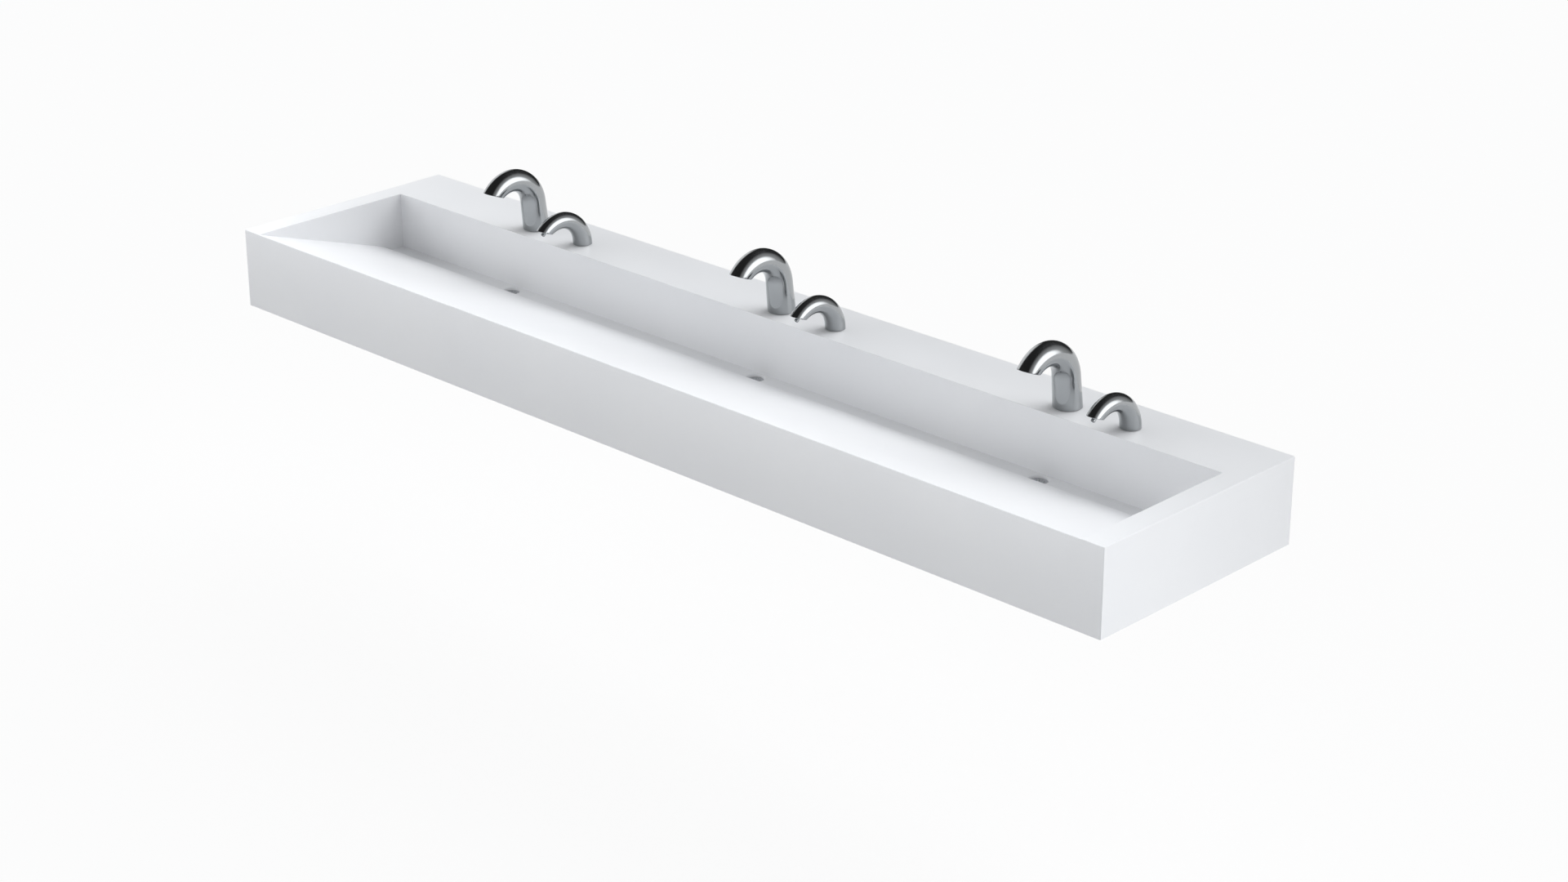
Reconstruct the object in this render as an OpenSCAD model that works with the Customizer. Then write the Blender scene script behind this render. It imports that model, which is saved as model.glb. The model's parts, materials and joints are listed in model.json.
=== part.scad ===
// Wall-hung trough sink of bonded cast sheet, with a ramp basin and a rear gutter.
// Three stations stand along the deck, each with a water spout and a soap spout.
// Origin: middle of the footprint at the apron's bottom. +X along the trough,
// +Y towards the wall, +Z up. Millimetres.

/* [Trough] */
// Length of the trough from end to end
trough_len = 2438; // [2240:1:2900]
// Depth of the trough from the front face to the wall
trough_depth = 560; // [540:1:640]
// Height of the trough from the apron's bottom to the deck
trough_h = 178; // [174:1:230]
// Thickness of every bonded sheet
sheet_t = 12.7; // [10:0.1:14]
// Width of the flat rim at each end
rim_w = 50; // [46:1:80]
// Depth of the rear deck that carries the spouts
deck_w = 155; // [150:1:165]
// Radius on the outer edges
edge_r = 1.6; // [0.6:0.1:3]
// Radius on the edge of the basin opening
mouth_edge_r = 1; // [0.5:0.1:2]
// Height of the rail under the deck's back edge
rail_h = 60; // [50:1:66]

/* [Basin] */
// Depth from the deck to the gutter floor
basin_depth = 128; // [120:1:130]
// Width of the gutter behind the ramp's lip
gutter_w = 50; // [49:1:60]
// Height above the gutter floor at which the ramp's slope meets the gutter
lip_h = 11.2; // [10.5:0.1:20]
// Radius of the ramp's rounded lip
lip_r = 14; // [8:0.5:14]
// Length of gutter floor that reaches under the ramp
floor_land = 20; // [8:1:40]

/* [Stations] */
// Distance between the stations
station_pitch = 762; // [500:1:780]
// Distance from each water spout to its soap spout
soap_offset = 152.4; // [130:0.1:160]
// Distance from the wall to the middle of the spouts
spout_inset = 100; // [98:1:103]

/* [Water spout] */
// Forward lean of the neck in degrees
spout_lean = 6.5; // [2:0.5:9]
// Length of the neck from the deck to the bend
spout_neck = 68; // [45:1:100]
// Radius of the bend on the tube's middle line
spout_bend_r = 65; // [56:1:80]
// Angle that the bend turns through
spout_turn = 132; // [110:1:140]
// Radius of the spout at the deck
spout_base_r = 29.5; // [28.5:0.1:33]
// Radius of the spout where the bend starts
spout_neck_r = 28.2; // [26:0.1:32]
// Radius of the spout at its outlet
spout_tip_r = 22.7; // [19:0.1:26]
// Wall of the spout
spout_wall = 2.5; // [1.5:0.1:3]

/* [Soap spout] */
// Forward lean of the neck in degrees
soap_lean = 6; // [2:0.5:9]
// Length of the neck from the deck to the bend
soap_neck = 8; // [6:1:30]
// Radius of the bend on the tube's middle line
soap_bend_r = 66; // [56:1:75]
// Angle that the bend turns through
soap_turn = 125; // [110:1:135]
// Radius of the spout at the deck
soap_base_r = 21; // [20.6:0.1:24]
// Radius of the spout where the bend starts
soap_neck_r = 21.2; // [20:0.1:24]
// Radius of the spout at its outlet
soap_tip_r = 16.5; // [14:0.1:19]
// Radius of the nozzle
nozzle_r = 4.5; // [3.5:0.1:6]
// Length of the nozzle beyond the spout's end
nozzle_out = 9; // [5:0.5:14]

/* [Shanks] */
// Radius of the water spout's threaded shank
shank_r = 16; // [14:0.1:17]
// Length of the water spout's shank below the deck
shank_drop = 35; // [30:1:42]
// Radius of the soap spout's threaded shank
soap_shank_r = 11; // [9:0.1:12]
// Length of the soap spout's shank below the deck
soap_shank_drop = 26; // [22:1:30]
// Clearance of each shank in its hole in the deck
shank_clear = 1.5; // [0.5:0.1:2]
// Thickness of the gaskets under the spouts
gasket_t = 0.8; // [0.5:0.1:2]

/* [Drain] */
// Radius of the recess at the gutter floor
drain_mouth_r = 24; // [22:0.5:24.4]
// Radius of the recess's rounded mouth
drain_bell_r = 5; // [3:0.5:5]
// Depth of the recess
drain_depth = 8; // [7:0.5:9]
// Outer radius of the waste tail
tail_r = 15.9; // [14:0.1:16]
// Wall of the waste tail
tail_wall = 1.8; // [1.2:0.1:2.5]
// Length of the plain waste tail below its thread
tail_len = 22.8; // [12:0.1:23.8]

/* [Wall bracket] */
// Thickness of the bracket plate
plate_t = 5; // [3:0.5:8]
// Width of the bracket's wall flange and deck tab
flange_w = 40; // [36:1:50]
// Distance of the inner brackets from the middle
inner_bracket_x = 381; // [340:1:400]
// Radius of the wall bolt holes
wall_hole_r = 5.5; // [4:0.1:6.5]
// Height of the lower wall bolt holes
wall_hole_z = 28; // [22:1:34]
// Vertical distance between the wall bolt holes
wall_hole_rise = 55; // [45:1:60]

/* [Water valve] */
// Radius of the inlet's thread
inlet_r = 10.4; // [9:0.1:12]
// Length of the inlet's thread
inlet_len = 14; // [10:1:18]
// Radius of the stop knob's wing
knob_reach = 15; // [12:1:17]
// Outer radius of the supply tube
tube_r = 5; // [4:0.1:5.5]
// Radius of the supply tube's bend
tube_bend_r = 22; // [16:1:30]
// Outer radius of the sensor lead
lead_r = 2.2; // [1.5:0.1:2.4]
// Radius of the sensor lead's bend
lead_bend_r = 14; // [10:1:20]

/* [Control box] */
// Length of the control box
box_len = 118; // [100:1:140]
// Height of the control box
box_h = 70; // [64:1:74]
// Wall of the control box
box_wall = 2.5; // [1.5:0.1:4]

/* [Soap pump and bottle] */
// Height of the soap pump
pump_h = 42; // [38:1:46]
// Outer radius of the soap bottle
bottle_r = 56; // [45:1:57]
// Wall of the soap bottle
bottle_wall = 1.8; // [1.2:0.1:3]
// Gap between the soap bottle and the apron's bottom
bottle_gap = 8; // [6:1:14]
// Running clearance of the bottle's neck and the knob's stem
run_clear = 0.08; // [0.04:0.01:0.1]

/* [Hidden] */
STATIONS = [1, 2, 3];
BRACKETS = [1, 2, 3, 4];
$fn = 64;

// Overrun of every cut, the gap where loose pieces sit, the gap of a fit and the bed of adhesive
over = 1;
seat_gap = 0.3;
fit_gap = 0.2;
bond_gap = 0.1;

// Colours
sheet_white = "#f0f0f2";
steel_grey = "#a7abb0";
chrome_grey = "#c9ccd1";
brass_yellow = "#b99a52";
rubber_black = "#26272a";
case_grey = "#4a4d52";
bottle_white = "#e6ebe9";

// Planes of the trough
half_len = trough_len / 2;
front_y = -trough_depth / 2;
wall_y = trough_depth / 2;
deck_under = trough_h - sheet_t;
floor_z = trough_h - basin_depth;
floor_under = floor_z - sheet_t;
basin_x = half_len - rim_w;
basin_y = wall_y - deck_w;
drop_y = basin_y - gutter_w;
service_y = basin_y + sheet_t;
rail_y = wall_y - sheet_t;

// Slope of the ramp
ramp_angle = atan2(trough_h - floor_z - lip_h, drop_y - front_y);
front_arc_steps = 5;
lip_arc_steps = 12;
function ramp_z(y) = trough_h - (y - front_y) * tan(ramp_angle);
function ramp_under(y) = ramp_z(y) - sheet_t / cos(ramp_angle);
ramp_foot_y = front_y + (trough_h - sheet_t / cos(ramp_angle) - floor_z) / tan(ramp_angle);

// Places of the stations
spout_y = wall_y - spout_inset;
drain_y = drop_y + gutter_w / 2;
function station_x(s) = (s - (len(STATIONS) + 1) / 2) * station_pitch;
function soap_x(s) = station_x(s) + soap_offset;

// Spout rings
spout_sides = 28;
bend_steps = 22;
cut_blend_share = 0.35;
outlet_tilt = 20;
plug_clear = 0.35;
plug_from_share = 0.84;
plug_to_share = 0.985;
plug_steps = 4;

// Shanks, nuts and gaskets
thread_clear = 0.1;
shank_hole_r = shank_r + shank_clear;
soap_hole_r = soap_shank_r + shank_clear;
gasket_inset = 1.4;
collar_t = 6;
collar_clear = 2;
bore_stop = 8;
shank_bore_r = 9;
water_way_r = 3.5;
soap_way_r = 4;
nut_flange_t = 3;
nut_flange_over = 5;
nut_t = 8;
nut_corner_r = 26;
soap_nut_corner_r = 18;
shank_end_z = deck_under - shank_drop;
soap_shank_end_z = deck_under - soap_shank_drop;

// Drain pieces
ledge_z = floor_z - drain_depth;
drain_neck_r = drain_mouth_r - drain_bell_r;
drain_flange_t = 3;
drain_crest = 0.6;
drain_thread_r = tail_r + drain_crest;
grid_t = 1.6;
grid_seat = 1.2;
grid_hole_r = 1.7;
grid_hole_steps_share = [0.36, 0.74];
grid_hole_counts = [6, 12];
drain_gasket_t = 2.5;
drain_gasket_over = 8;
locknut_t = 8;
locknut_corner_r = 25;
thread_run = 1;
tail_top_z = floor_under - drain_gasket_t - locknut_t - thread_run;
tail_end_z = tail_top_z - tail_len;

// Bracket shape
bracket_foot = 8;
bracket_nose_h = 55;
bracket_heel_back = 15;
bracket_heel_y = drop_y - bracket_heel_back;
tab_gap = 5;
tab_len = 92;
outer_bracket_x = half_len - rim_w / 2;
flange_top_gap = 2;
bracket_screw_r = 3;
bracket_screw_head_r = 5.5;
bracket_screw_head_t = 3;
bracket_screw_bite = 9;
bracket_screw_inset = 20;
bracket_screw_pitch = 52;
screw_clear = 0.05;
function bracket_x(b) = [-outer_bracket_x, -inner_bracket_x, inner_bracket_x, outer_bracket_x][b - 1];
function bracket_inward(b) = bracket_x(b) > 0 ? -1 : 1;
function bracket_is_outer(b) = abs(bracket_x(b)) > inner_bracket_x;
// Shift of the flange towards the middle, so that an outer bracket clears its end panel
outer_flange_shift = flange_w / 2 - (rim_w / 2 - sheet_t);
function flange_shift(b) = bracket_is_outer(b) ? outer_flange_shift : 0;
flange_hole_x = flange_w / 4 + plate_t / 4;
function hole_shift(b) = max(flange_shift(b), 0) + flange_hole_x;

// Control box, valve and coil, placed from the spout's middle and the deck
box_drop = 15;
box_top = deck_under - box_drop;
box_under = box_top - box_h;
box_right = 62;
box_corner_r = 5;
lid_t = 4;
battery_r = 13;
battery_gap = 1;
battery_len = 80;
lug_w = 14;
lug_t = 3;
lug_h = 22;
box_screw_r = 2;
box_screw_head_r = 4;
box_screw_head_t = 2.4;
box_screw_bite = 8;
valve_len = 60;
valve_d = 40;
valve_h = 46;
valve_corner_r = 4;
valve_mid_y = spout_y;
valve_under = box_under - valve_h;
outlet_rise = 25;
outlet_z = valve_under + outlet_rise;
nipple_r = 7.5;
nipple_len = 8;
inlet_shift = 14;
inlet_way_r = 7;
inlet_way_depth = 20;
knob_shift = 46;
stem_r = 4;
stem_len = 16;
knob_hub_r = 8;
knob_hub_h = 5;
knob_wing_w = 9;
knob_wing_h = 10;
coil_r = 13;
coil_len = 30;
coil_cap_r = 9;
coil_cap_len = 4;
tube_shift = 3;
lead_shift = 5.5;
lead_drop = 25;
lead_z = box_top - lead_drop;
gland_r = 4;
gland_len = 7;
box_front_y = spout_y + lead_shift - gland_r - fit_gap - lid_t;
box_d = rail_y - box_front_y;
tube_bore_r = 3;

// Soap pump and bottle
pump_engage = 6;
pump_top = soap_shank_end_z + pump_engage;
pump_under = pump_top - pump_h;
pump_half_w = 38;
pump_front = 31;
pump_back = 68;
pump_corner_r = 10;
bottle_shift = 25;
bottle_y = spout_y + bottle_shift;
socket_depth = 12;
neck_r = 22;
neck_wall = 3;
neck_air = 3.5;
bottle_round = 12;
lug_reach = 2.5;
lug_rise = 4;
bayonet_h = 3;
bayonet_slack = 0.4;
bayonet_turn = 60;
bayonet_lug_deg = 24;
dip_r = 3;
dip_wall = 1;
dip_gap = 6;
dip_bite = 5;
dip_clear = 0.05;
motor_r = 14;
motor_h = 6;

// A profile in Y and Z drawn out along X about the middle
module along_x(len) {
    rotate([90, 0, 90])
        linear_extrude(height = len, center = true)
            children();
}

// Cutter that rounds an edge running along X, with the material below and behind (-Y, -Z)
module edge_cut(len, r) {
    along_x(len)
        difference() {
            translate([-r, -r])
                square([r + over, r + over]);
            translate([-r, -r])
                circle(r);
        }
}

// A box with rounded upright edges, its middle at the origin of the bottom face
module rounded_block(len, depth, height, r) {
    linear_extrude(height = height)
        union() {
            square([len - 2 * r, depth], center = true);
            square([len, depth - 2 * r], center = true);
            for (sx = [-1, 1], sy = [-1, 1])
                translate([sx * (len / 2 - r), sy * (depth / 2 - r)])
                    circle(r);
        }
}

// A ring with a true bore
module ring(outer, inner, height) {
    difference() {
        cylinder(r = outer, h = height);
        translate([0, 0, -over])
            cylinder(r = inner, h = height + 2 * over);
    }
}

// Flanged hexagon nut that hangs below z = 0
module hanging_nut(flange_r, corner_r, bore_r, flange_t, hex_t) {
    difference() {
        union() {
            translate([0, 0, -flange_t])
                cylinder(r = flange_r, h = flange_t);
            translate([0, 0, -flange_t - hex_t])
                cylinder(r = corner_r, h = hex_t, $fn = 6);
        }
        translate([0, 0, -flange_t - hex_t - over])
            cylinder(r = bore_r, h = flange_t + hex_t + 2 * over);
    }
}

// Points of an arc
function arc_points(c, r, from, to, steps) =
    [for (k = [0:steps]) let (a = from + (to - from) * k / steps) [c[0] + r * cos(a), c[1] + r * sin(a)]];

// Deck, with the two side rims, the spout holes and the bracket screw holes
module deck_panel() {
    color(sheet_white)
        difference() {
            translate([0, 0, deck_under])
                linear_extrude(height = sheet_t)
                    polygon([
                        [-half_len, front_y], [-basin_x, front_y], [-basin_x, basin_y], [basin_x, basin_y],
                        [basin_x, front_y], [half_len, front_y], [half_len, wall_y], [-half_len, wall_y]
                    ]);
            for (s = STATIONS) {
                translate([station_x(s), spout_y, deck_under - over])
                    cylinder(r = shank_hole_r, h = sheet_t + 2 * over);
                translate([soap_x(s), spout_y, deck_under - over])
                    cylinder(r = soap_hole_r, h = sheet_t + 2 * over);
            }
            bracket_screw_places()
                translate([0, 0, -over])
                    cylinder(r = bracket_screw_r + screw_clear, h = bracket_screw_bite + over);
            outer_edge_cuts();
            translate([0, basin_y, trough_h])
                rotate([0, 0, 180])
                    edge_cut(2 * basin_x, mouth_edge_r);
            for (side = [-1, 1])
                translate([side * basin_x, (front_y + basin_y) / 2, trough_h])
                    rotate([0, 0, side * 90])
                        edge_cut(basin_y - front_y, mouth_edge_r);
        }
}

// Rounding of the trough's top front, top side and front corner edges
module outer_edge_cuts() {
    translate([0, front_y, trough_h])
        rotate([0, 0, 180])
            edge_cut(trough_len + 2 * over, edge_r);
    for (side = [-1, 1]) {
        translate([side * half_len, 0, trough_h])
            rotate([0, 0, -side * 90])
                edge_cut(trough_depth + 2 * over, edge_r);
        translate([side * half_len, front_y, trough_h / 2])
            rotate([0, 90, side * 90 - 90])
                edge_cut(trough_h + 2 * over, edge_r);
    }
}

// Front apron: full height at the rims, cut to the ramp's underside between them
module front_apron() {
    color(sheet_white)
        difference() {
            union() {
                along_x(2 * basin_x)
                    polygon([
                        [front_y, 0], [front_y + sheet_t, 0],
                        [front_y + sheet_t, ramp_under(front_y + sheet_t) - bond_gap],
                        [front_y, ramp_under(front_y) - bond_gap]
                    ]);
                for (side = [-1, 1])
                    translate([side * (half_len + basin_x) / 2, front_y + sheet_t / 2, deck_under / 2])
                        cube([rim_w, sheet_t, deck_under], center = true);
            }
            outer_edge_cuts();
        }
}

// Panel that closes one end
module end_panel(side) {
    color(sheet_white)
        translate([side * (half_len - sheet_t / 2), (front_y + sheet_t + wall_y) / 2, deck_under / 2])
            cube([sheet_t, trough_depth - sheet_t, deck_under], center = true);
}

// Sloping ramp with its rounded front edge and rounded lip
module ramp_panel() {
    front_c = [front_y + edge_r, ramp_z(front_y + edge_r) - edge_r / cos(ramp_angle)];
    lip_c = [drop_y - lip_r, ramp_z(drop_y - lip_r) - lip_r / cos(ramp_angle)];
    color(sheet_white)
        along_x(2 * basin_x)
            polygon(concat(
                arc_points(front_c, edge_r, 180, 90 - ramp_angle, front_arc_steps),
                arc_points(lip_c, lip_r, 90 - ramp_angle, 0, lip_arc_steps),
                [[drop_y, floor_z], [ramp_foot_y, floor_z], [front_y, ramp_under(front_y)]]
            ));
}

// Level gutter floor with a bell-mouthed recess and a hole at each drain
module gutter_floor() {
    color(sheet_white)
        difference() {
            translate([-basin_x, ramp_foot_y - floor_land, floor_under])
                cube([2 * basin_x, basin_y - ramp_foot_y + floor_land, sheet_t]);
            for (s = STATIONS)
                translate([station_x(s), drain_y, floor_z]) {
                    drain_recess();
                    translate([0, 0, -sheet_t - over])
                        cylinder(r = drain_thread_r + fit_gap, h = sheet_t + over);
                }
        }
}

// Recess below z = 0 whose mouth is rounded
module drain_recess() {
    rotate_extrude()
        union() {
            translate([0, -drain_depth])
                square([drain_neck_r, drain_depth + over]);
            difference() {
                translate([0, -drain_bell_r])
                    square([drain_mouth_r, drain_bell_r]);
                translate([drain_mouth_r, -drain_bell_r])
                    circle(drain_bell_r);
            }
        }
}

// Wall between the basin and the service space
module rear_basin_wall() {
    color(sheet_white)
        translate([-basin_x, basin_y, floor_under])
            cube([2 * basin_x, sheet_t, deck_under - floor_under]);
}

// Wall at one end of the basin
module side_basin_wall(side) {
    color(sheet_white)
        translate([
            side * (basin_x + sheet_t / 2),
            (front_y + sheet_t + service_y) / 2,
            (deck_under + floor_under) / 2
        ])
            cube([sheet_t, service_y - front_y - sheet_t, deck_under - floor_under], center = true);
}

// Rail bonded under the deck's back edge
module rear_rail() {
    color(sheet_white)
        difference() {
            translate([-half_len + sheet_t, rail_y, deck_under - rail_h])
                cube([trough_len - 2 * sheet_t, sheet_t, rail_h]);
            for (s = STATIONS)
                box_screw_places(s)
                    translate([0, 0, -box_screw_bite])
                        cylinder(r = box_screw_r + screw_clear, h = box_screw_bite + over);
        }
}

// Steel bracket: upright plate, wall flange and deck tab in one bent and welded piece
module support_bracket(b) {
    inward = bracket_inward(b);
    flange_top = deck_under - rail_h - flange_top_gap;
    nose_y = front_y + sheet_t;
    flange_front = wall_y - plate_t;
    plate_back = wall_y - plate_t / 2;
    tab_under = deck_under - plate_t;
    carry_top = bracket_is_outer(b)
        ? [[service_y + fit_gap, deck_under], [nose_y, deck_under]]
        : [
            [service_y + fit_gap, tab_under], [service_y + fit_gap, floor_under],
            [ramp_foot_y - floor_land, floor_under],
            [ramp_foot_y - floor_land, ramp_under(ramp_foot_y - floor_land) - bond_gap],
            [nose_y, ramp_under(nose_y) - bond_gap]
        ];
    color(steel_grey)
        difference() {
            union() {
                translate([bracket_x(b), 0, 0])
                    along_x(plate_t)
                        polygon(concat(
                            [
                                [plate_back, bracket_foot], [plate_back, flange_top],
                                [rail_y - fit_gap, flange_top], [rail_y - fit_gap, tab_under]
                            ],
                            carry_top,
                            [[nose_y, ramp_under(nose_y) - bracket_nose_h], [bracket_heel_y, bracket_foot]]
                        ));
                translate([
                    bracket_x(b) + inward * flange_shift(b) - flange_w / 2,
                    flange_front,
                    bracket_foot
                ])
                    cube([flange_w, plate_t, flange_top - bracket_foot]);
                translate([
                    bracket_x(b) + inward * flange_shift(b) - flange_w / 2,
                    rail_y - tab_gap - tab_len,
                    tab_under
                ])
                    cube([flange_w, tab_len, plate_t]);
            }
            for (k = [0, 1])
                translate([
                    bracket_x(b) + inward * hole_shift(b),
                    flange_front - over,
                    wall_hole_z + k * wall_hole_rise
                ])
                    rotate([-90, 0, 0])
                        cylinder(r = wall_hole_r, h = plate_t + 2 * over);
            bracket_screw_places()
                translate([0, 0, -plate_t - over])
                    cylinder(r = bracket_screw_r + screw_clear, h = plate_t + 2 * over);
        }
}

// Every bracket screw, at the deck's underside
module bracket_screw_places() {
    for (b = BRACKETS, k = [0, 1])
        translate([
            bracket_x(b) + bracket_inward(b) * hole_shift(b),
            rail_y - tab_gap - bracket_screw_inset - k * bracket_screw_pitch,
            deck_under
        ])
            children();
}

// Screws that hold the brackets to the deck
module bracket_screws() {
    color(steel_grey)
        bracket_screw_places() {
            translate([0, 0, -plate_t - bracket_screw_head_t])
                cylinder(r = bracket_screw_head_r, h = bracket_screw_head_t);
            translate([0, 0, -plate_t - bracket_screw_head_t])
                cylinder(r = bracket_screw_r, h = bracket_screw_head_t + plate_t + bracket_screw_bite);
        }
}

// Waste fitting: a flange on the recess's ledge, a thread for the locknut and a plain tail
module drain_body(s) {
    color(chrome_grey)
        translate([station_x(s), drain_y, 0])
            difference() {
                union() {
                    translate([0, 0, ledge_z])
                        cylinder(r = drain_neck_r - fit_gap, h = drain_flange_t);
                    translate([0, 0, tail_top_z])
                        cylinder(r = drain_thread_r, h = ledge_z - tail_top_z + drain_flange_t);
                    translate([0, 0, tail_end_z])
                        cylinder(r = tail_r, h = ledge_z - tail_end_z);
                }
                translate([0, 0, tail_end_z - over])
                    cylinder(r = tail_r - tail_wall, h = ledge_z + drain_flange_t - tail_end_z + 2 * over);
                translate([0, 0, ledge_z + drain_flange_t - grid_t])
                    cylinder(r = tail_r - tail_wall + grid_seat, h = grid_t + over);
            }
}

// Perforated grids that lie in the waste fittings
module drain_grids() {
    grid_r = tail_r - tail_wall + grid_seat - fit_gap / 2;
    color(chrome_grey)
        for (s = STATIONS)
            translate([station_x(s), drain_y, ledge_z + drain_flange_t - grid_t])
                difference() {
                    cylinder(r = grid_r, h = grid_t);
                    translate([0, 0, -over])
                        cylinder(r = grid_hole_r, h = grid_t + 2 * over, $fn = 24);
                    for (k = [0:len(grid_hole_counts) - 1], n = [0:grid_hole_counts[k] - 1])
                        rotate([0, 0, n * 360 / grid_hole_counts[k]])
                            translate([grid_r * grid_hole_steps_share[k], 0, -over])
                                cylinder(r = grid_hole_r, h = grid_t + 2 * over, $fn = 24);
                }
}

// Rubber rings under the gutter floor
module drain_gaskets() {
    color(rubber_black)
        for (s = STATIONS)
            translate([station_x(s), drain_y, floor_under - drain_gasket_t])
                ring(tail_r + drain_gasket_over, drain_thread_r + thread_clear, drain_gasket_t);
}

// Nuts that draw the waste fittings down
module drain_locknuts() {
    color(brass_yellow)
        for (s = STATIONS)
            translate([station_x(s), drain_y, floor_under - drain_gasket_t])
                hanging_nut(
                    tail_r + drain_gasket_over, locknut_corner_r, drain_thread_r + thread_clear,
                    nut_flange_t, locknut_t - nut_flange_t
                );
}

// Spouts are swept from rings. A ring is [middle y, middle z, lean, radius, tilt of its plane].
function bend_middle(neck, bend_r, lean, turned) = [
    -sin(lean) * neck - bend_r * cos(lean) + bend_r * cos(lean + turned),
    cos(lean) * neck - bend_r * sin(lean) + bend_r * sin(lean + turned)
];
// Tilt of the outlet's plane, blended in over the last share of the bend
function outlet_plane(lean, turn, share) =
    (180 - outlet_tilt - lean - turn) * pow(max(0, (share - 1 + cut_blend_share) / cut_blend_share), 2);
function bend_ring(neck, bend_r, lean, turn, r_from, r_to, share) =
    let (m = bend_middle(neck, bend_r, lean, turn * share), r = r_from + (r_to - r_from) * share)
        [m[0], m[1], lean + turn * share, r, outlet_plane(lean, turn, share)];
function spout_rings(neck, bend_r, lean, turn, r_base, r_neck, r_tip) = concat(
    [[0, 0, lean, r_base, -lean]],
    [for (k = [0:bend_steps]) bend_ring(neck, bend_r, lean, turn, r_neck, r_tip, k / bend_steps)]
);
function ring_points(g, thinner) = [
    for (k = [0:spout_sides - 1])
        let (a = k * 360 / spout_sides, r = g[3] - thinner, u = r * sin(a), slant = tan(g[4]))
            [
                r * cos(a),
                g[0] + u * (cos(g[2]) - slant * sin(g[2])),
                g[1] + u * (sin(g[2]) + slant * cos(g[2]))
            ]
];
// Triangles between two rings of points that start at a and b
function band(a, b) = [
    for (k = [0:spout_sides - 1])
        let (n = (k + 1) % spout_sides)
            each [[a + k, b + k, b + n], [a + k, b + n, a + n]]
];

// Hollow tube swept through the rings
module swept_tube(rings, wall) {
    count = len(rings);
    inner = count * spout_sides;
    points = concat(
        [for (g = rings) each ring_points(g, 0)],
        [for (g = rings) each ring_points(g, wall)]
    );
    faces = concat(
        [for (k = [0:count - 2]) each band(k * spout_sides, (k + 1) * spout_sides)],
        [for (k = [0:count - 2]) each band(inner + (k + 1) * spout_sides, inner + k * spout_sides)],
        band(inner, 0),
        band((count - 1) * spout_sides, inner + (count - 1) * spout_sides)
    );
    polyhedron(points = points, faces = faces, convexity = 6);
}

// Solid plug swept through the rings
module swept_plug(rings, thinner) {
    count = len(rings);
    last = (count - 1) * spout_sides;
    points = [for (g = rings) each ring_points(g, thinner)];
    faces = concat(
        [for (k = [0:count - 2]) each band(k * spout_sides, (k + 1) * spout_sides)],
        [[for (k = [0:spout_sides - 1]) k]],
        [[for (k = [0:spout_sides - 1]) last + spout_sides - 1 - k]]
    );
    polyhedron(points = points, faces = faces, convexity = 4);
}

// Rings of the plug inside a spout's end
function plug_rings(neck, bend_r, lean, turn, r_from, r_to) = [
    for (k = [0:plug_steps])
        bend_ring(
            neck, bend_r, lean, turn, r_from, r_to,
            plug_from_share + (plug_to_share - plug_from_share) * k / plug_steps
        )
];

// Chrome water spout
module water_spout(s) {
    color(chrome_grey)
        translate([station_x(s), spout_y, trough_h + gasket_t])
            swept_tube(
                spout_rings(
                    spout_neck, spout_bend_r, spout_lean, spout_turn,
                    spout_base_r, spout_neck_r, spout_tip_r
                ),
                spout_wall
            );
}

// Inserts in the water spouts' ends that hold the spray formers and the sensors
module spout_outlets() {
    color(rubber_black)
        for (s = STATIONS)
            translate([station_x(s), spout_y, trough_h + gasket_t])
                swept_plug(
                    plug_rings(spout_neck, spout_bend_r, spout_lean, spout_turn, spout_neck_r, spout_tip_r),
                    spout_wall + plug_clear
                );
}

// Chrome soap spout
module soap_spout(s) {
    color(chrome_grey)
        translate([soap_x(s), spout_y, trough_h + gasket_t])
            swept_tube(
                spout_rings(
                    soap_neck, soap_bend_r, soap_lean, soap_turn,
                    soap_base_r, soap_neck_r, soap_tip_r
                ),
                spout_wall
            );
}

// Nozzle with the plug that holds it in the soap spout's end
module soap_nozzle(s) {
    m = bend_middle(soap_neck, soap_bend_r, soap_lean, soap_turn);
    color(chrome_grey)
        translate([soap_x(s), spout_y, trough_h + gasket_t])
            union() {
                swept_plug(
                    plug_rings(soap_neck, soap_bend_r, soap_lean, soap_turn, soap_neck_r, soap_tip_r),
                    spout_wall + plug_clear
                );
                translate([0, m[0], m[1]])
                    rotate([soap_lean + soap_turn, 0, 0])
                        translate([0, 0, -nozzle_out])
                            cylinder(r = nozzle_r, h = 2 * nozzle_out, $fn = 32);
            }
}

// Threaded shanks of the water spouts, each with a collar inside the spout's base
module spout_shanks() {
    collar_r = spout_base_r - spout_wall - collar_clear;
    color(brass_yellow)
        for (s = STATIONS)
            translate([station_x(s), spout_y, 0])
                difference() {
                    union() {
                        translate([0, 0, shank_end_z])
                            cylinder(r = shank_r, h = trough_h + gasket_t - shank_end_z);
                        translate([0, 0, trough_h + gasket_t])
                            cylinder(r = collar_r, h = collar_t);
                    }
                    translate([0, 0, shank_end_z - over])
                        cylinder(r = shank_bore_r, h = trough_h - bore_stop - shank_end_z + over);
                    for (way = [[-tube_shift, water_way_r], [lead_shift, lead_r]])
                        translate([0, way[0], trough_h - bore_stop - over])
                            cylinder(r = way[1], h = bore_stop + gasket_t + collar_t + 2 * over, $fn = 32);
                }
}

// Thin gaskets between the water spouts and the deck
module spout_gaskets() {
    color(rubber_black)
        for (s = STATIONS)
            translate([station_x(s), spout_y, trough_h])
                ring(spout_base_r - gasket_inset, shank_r + thread_clear, gasket_t);
}

// Nuts under the deck that clamp the water spouts
module spout_nuts() {
    color(brass_yellow)
        for (s = STATIONS)
            translate([station_x(s), spout_y, deck_under])
                hanging_nut(
                    shank_hole_r + 2 * nut_flange_over, nut_corner_r, shank_r + thread_clear,
                    nut_flange_t, nut_t
                );
}

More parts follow.
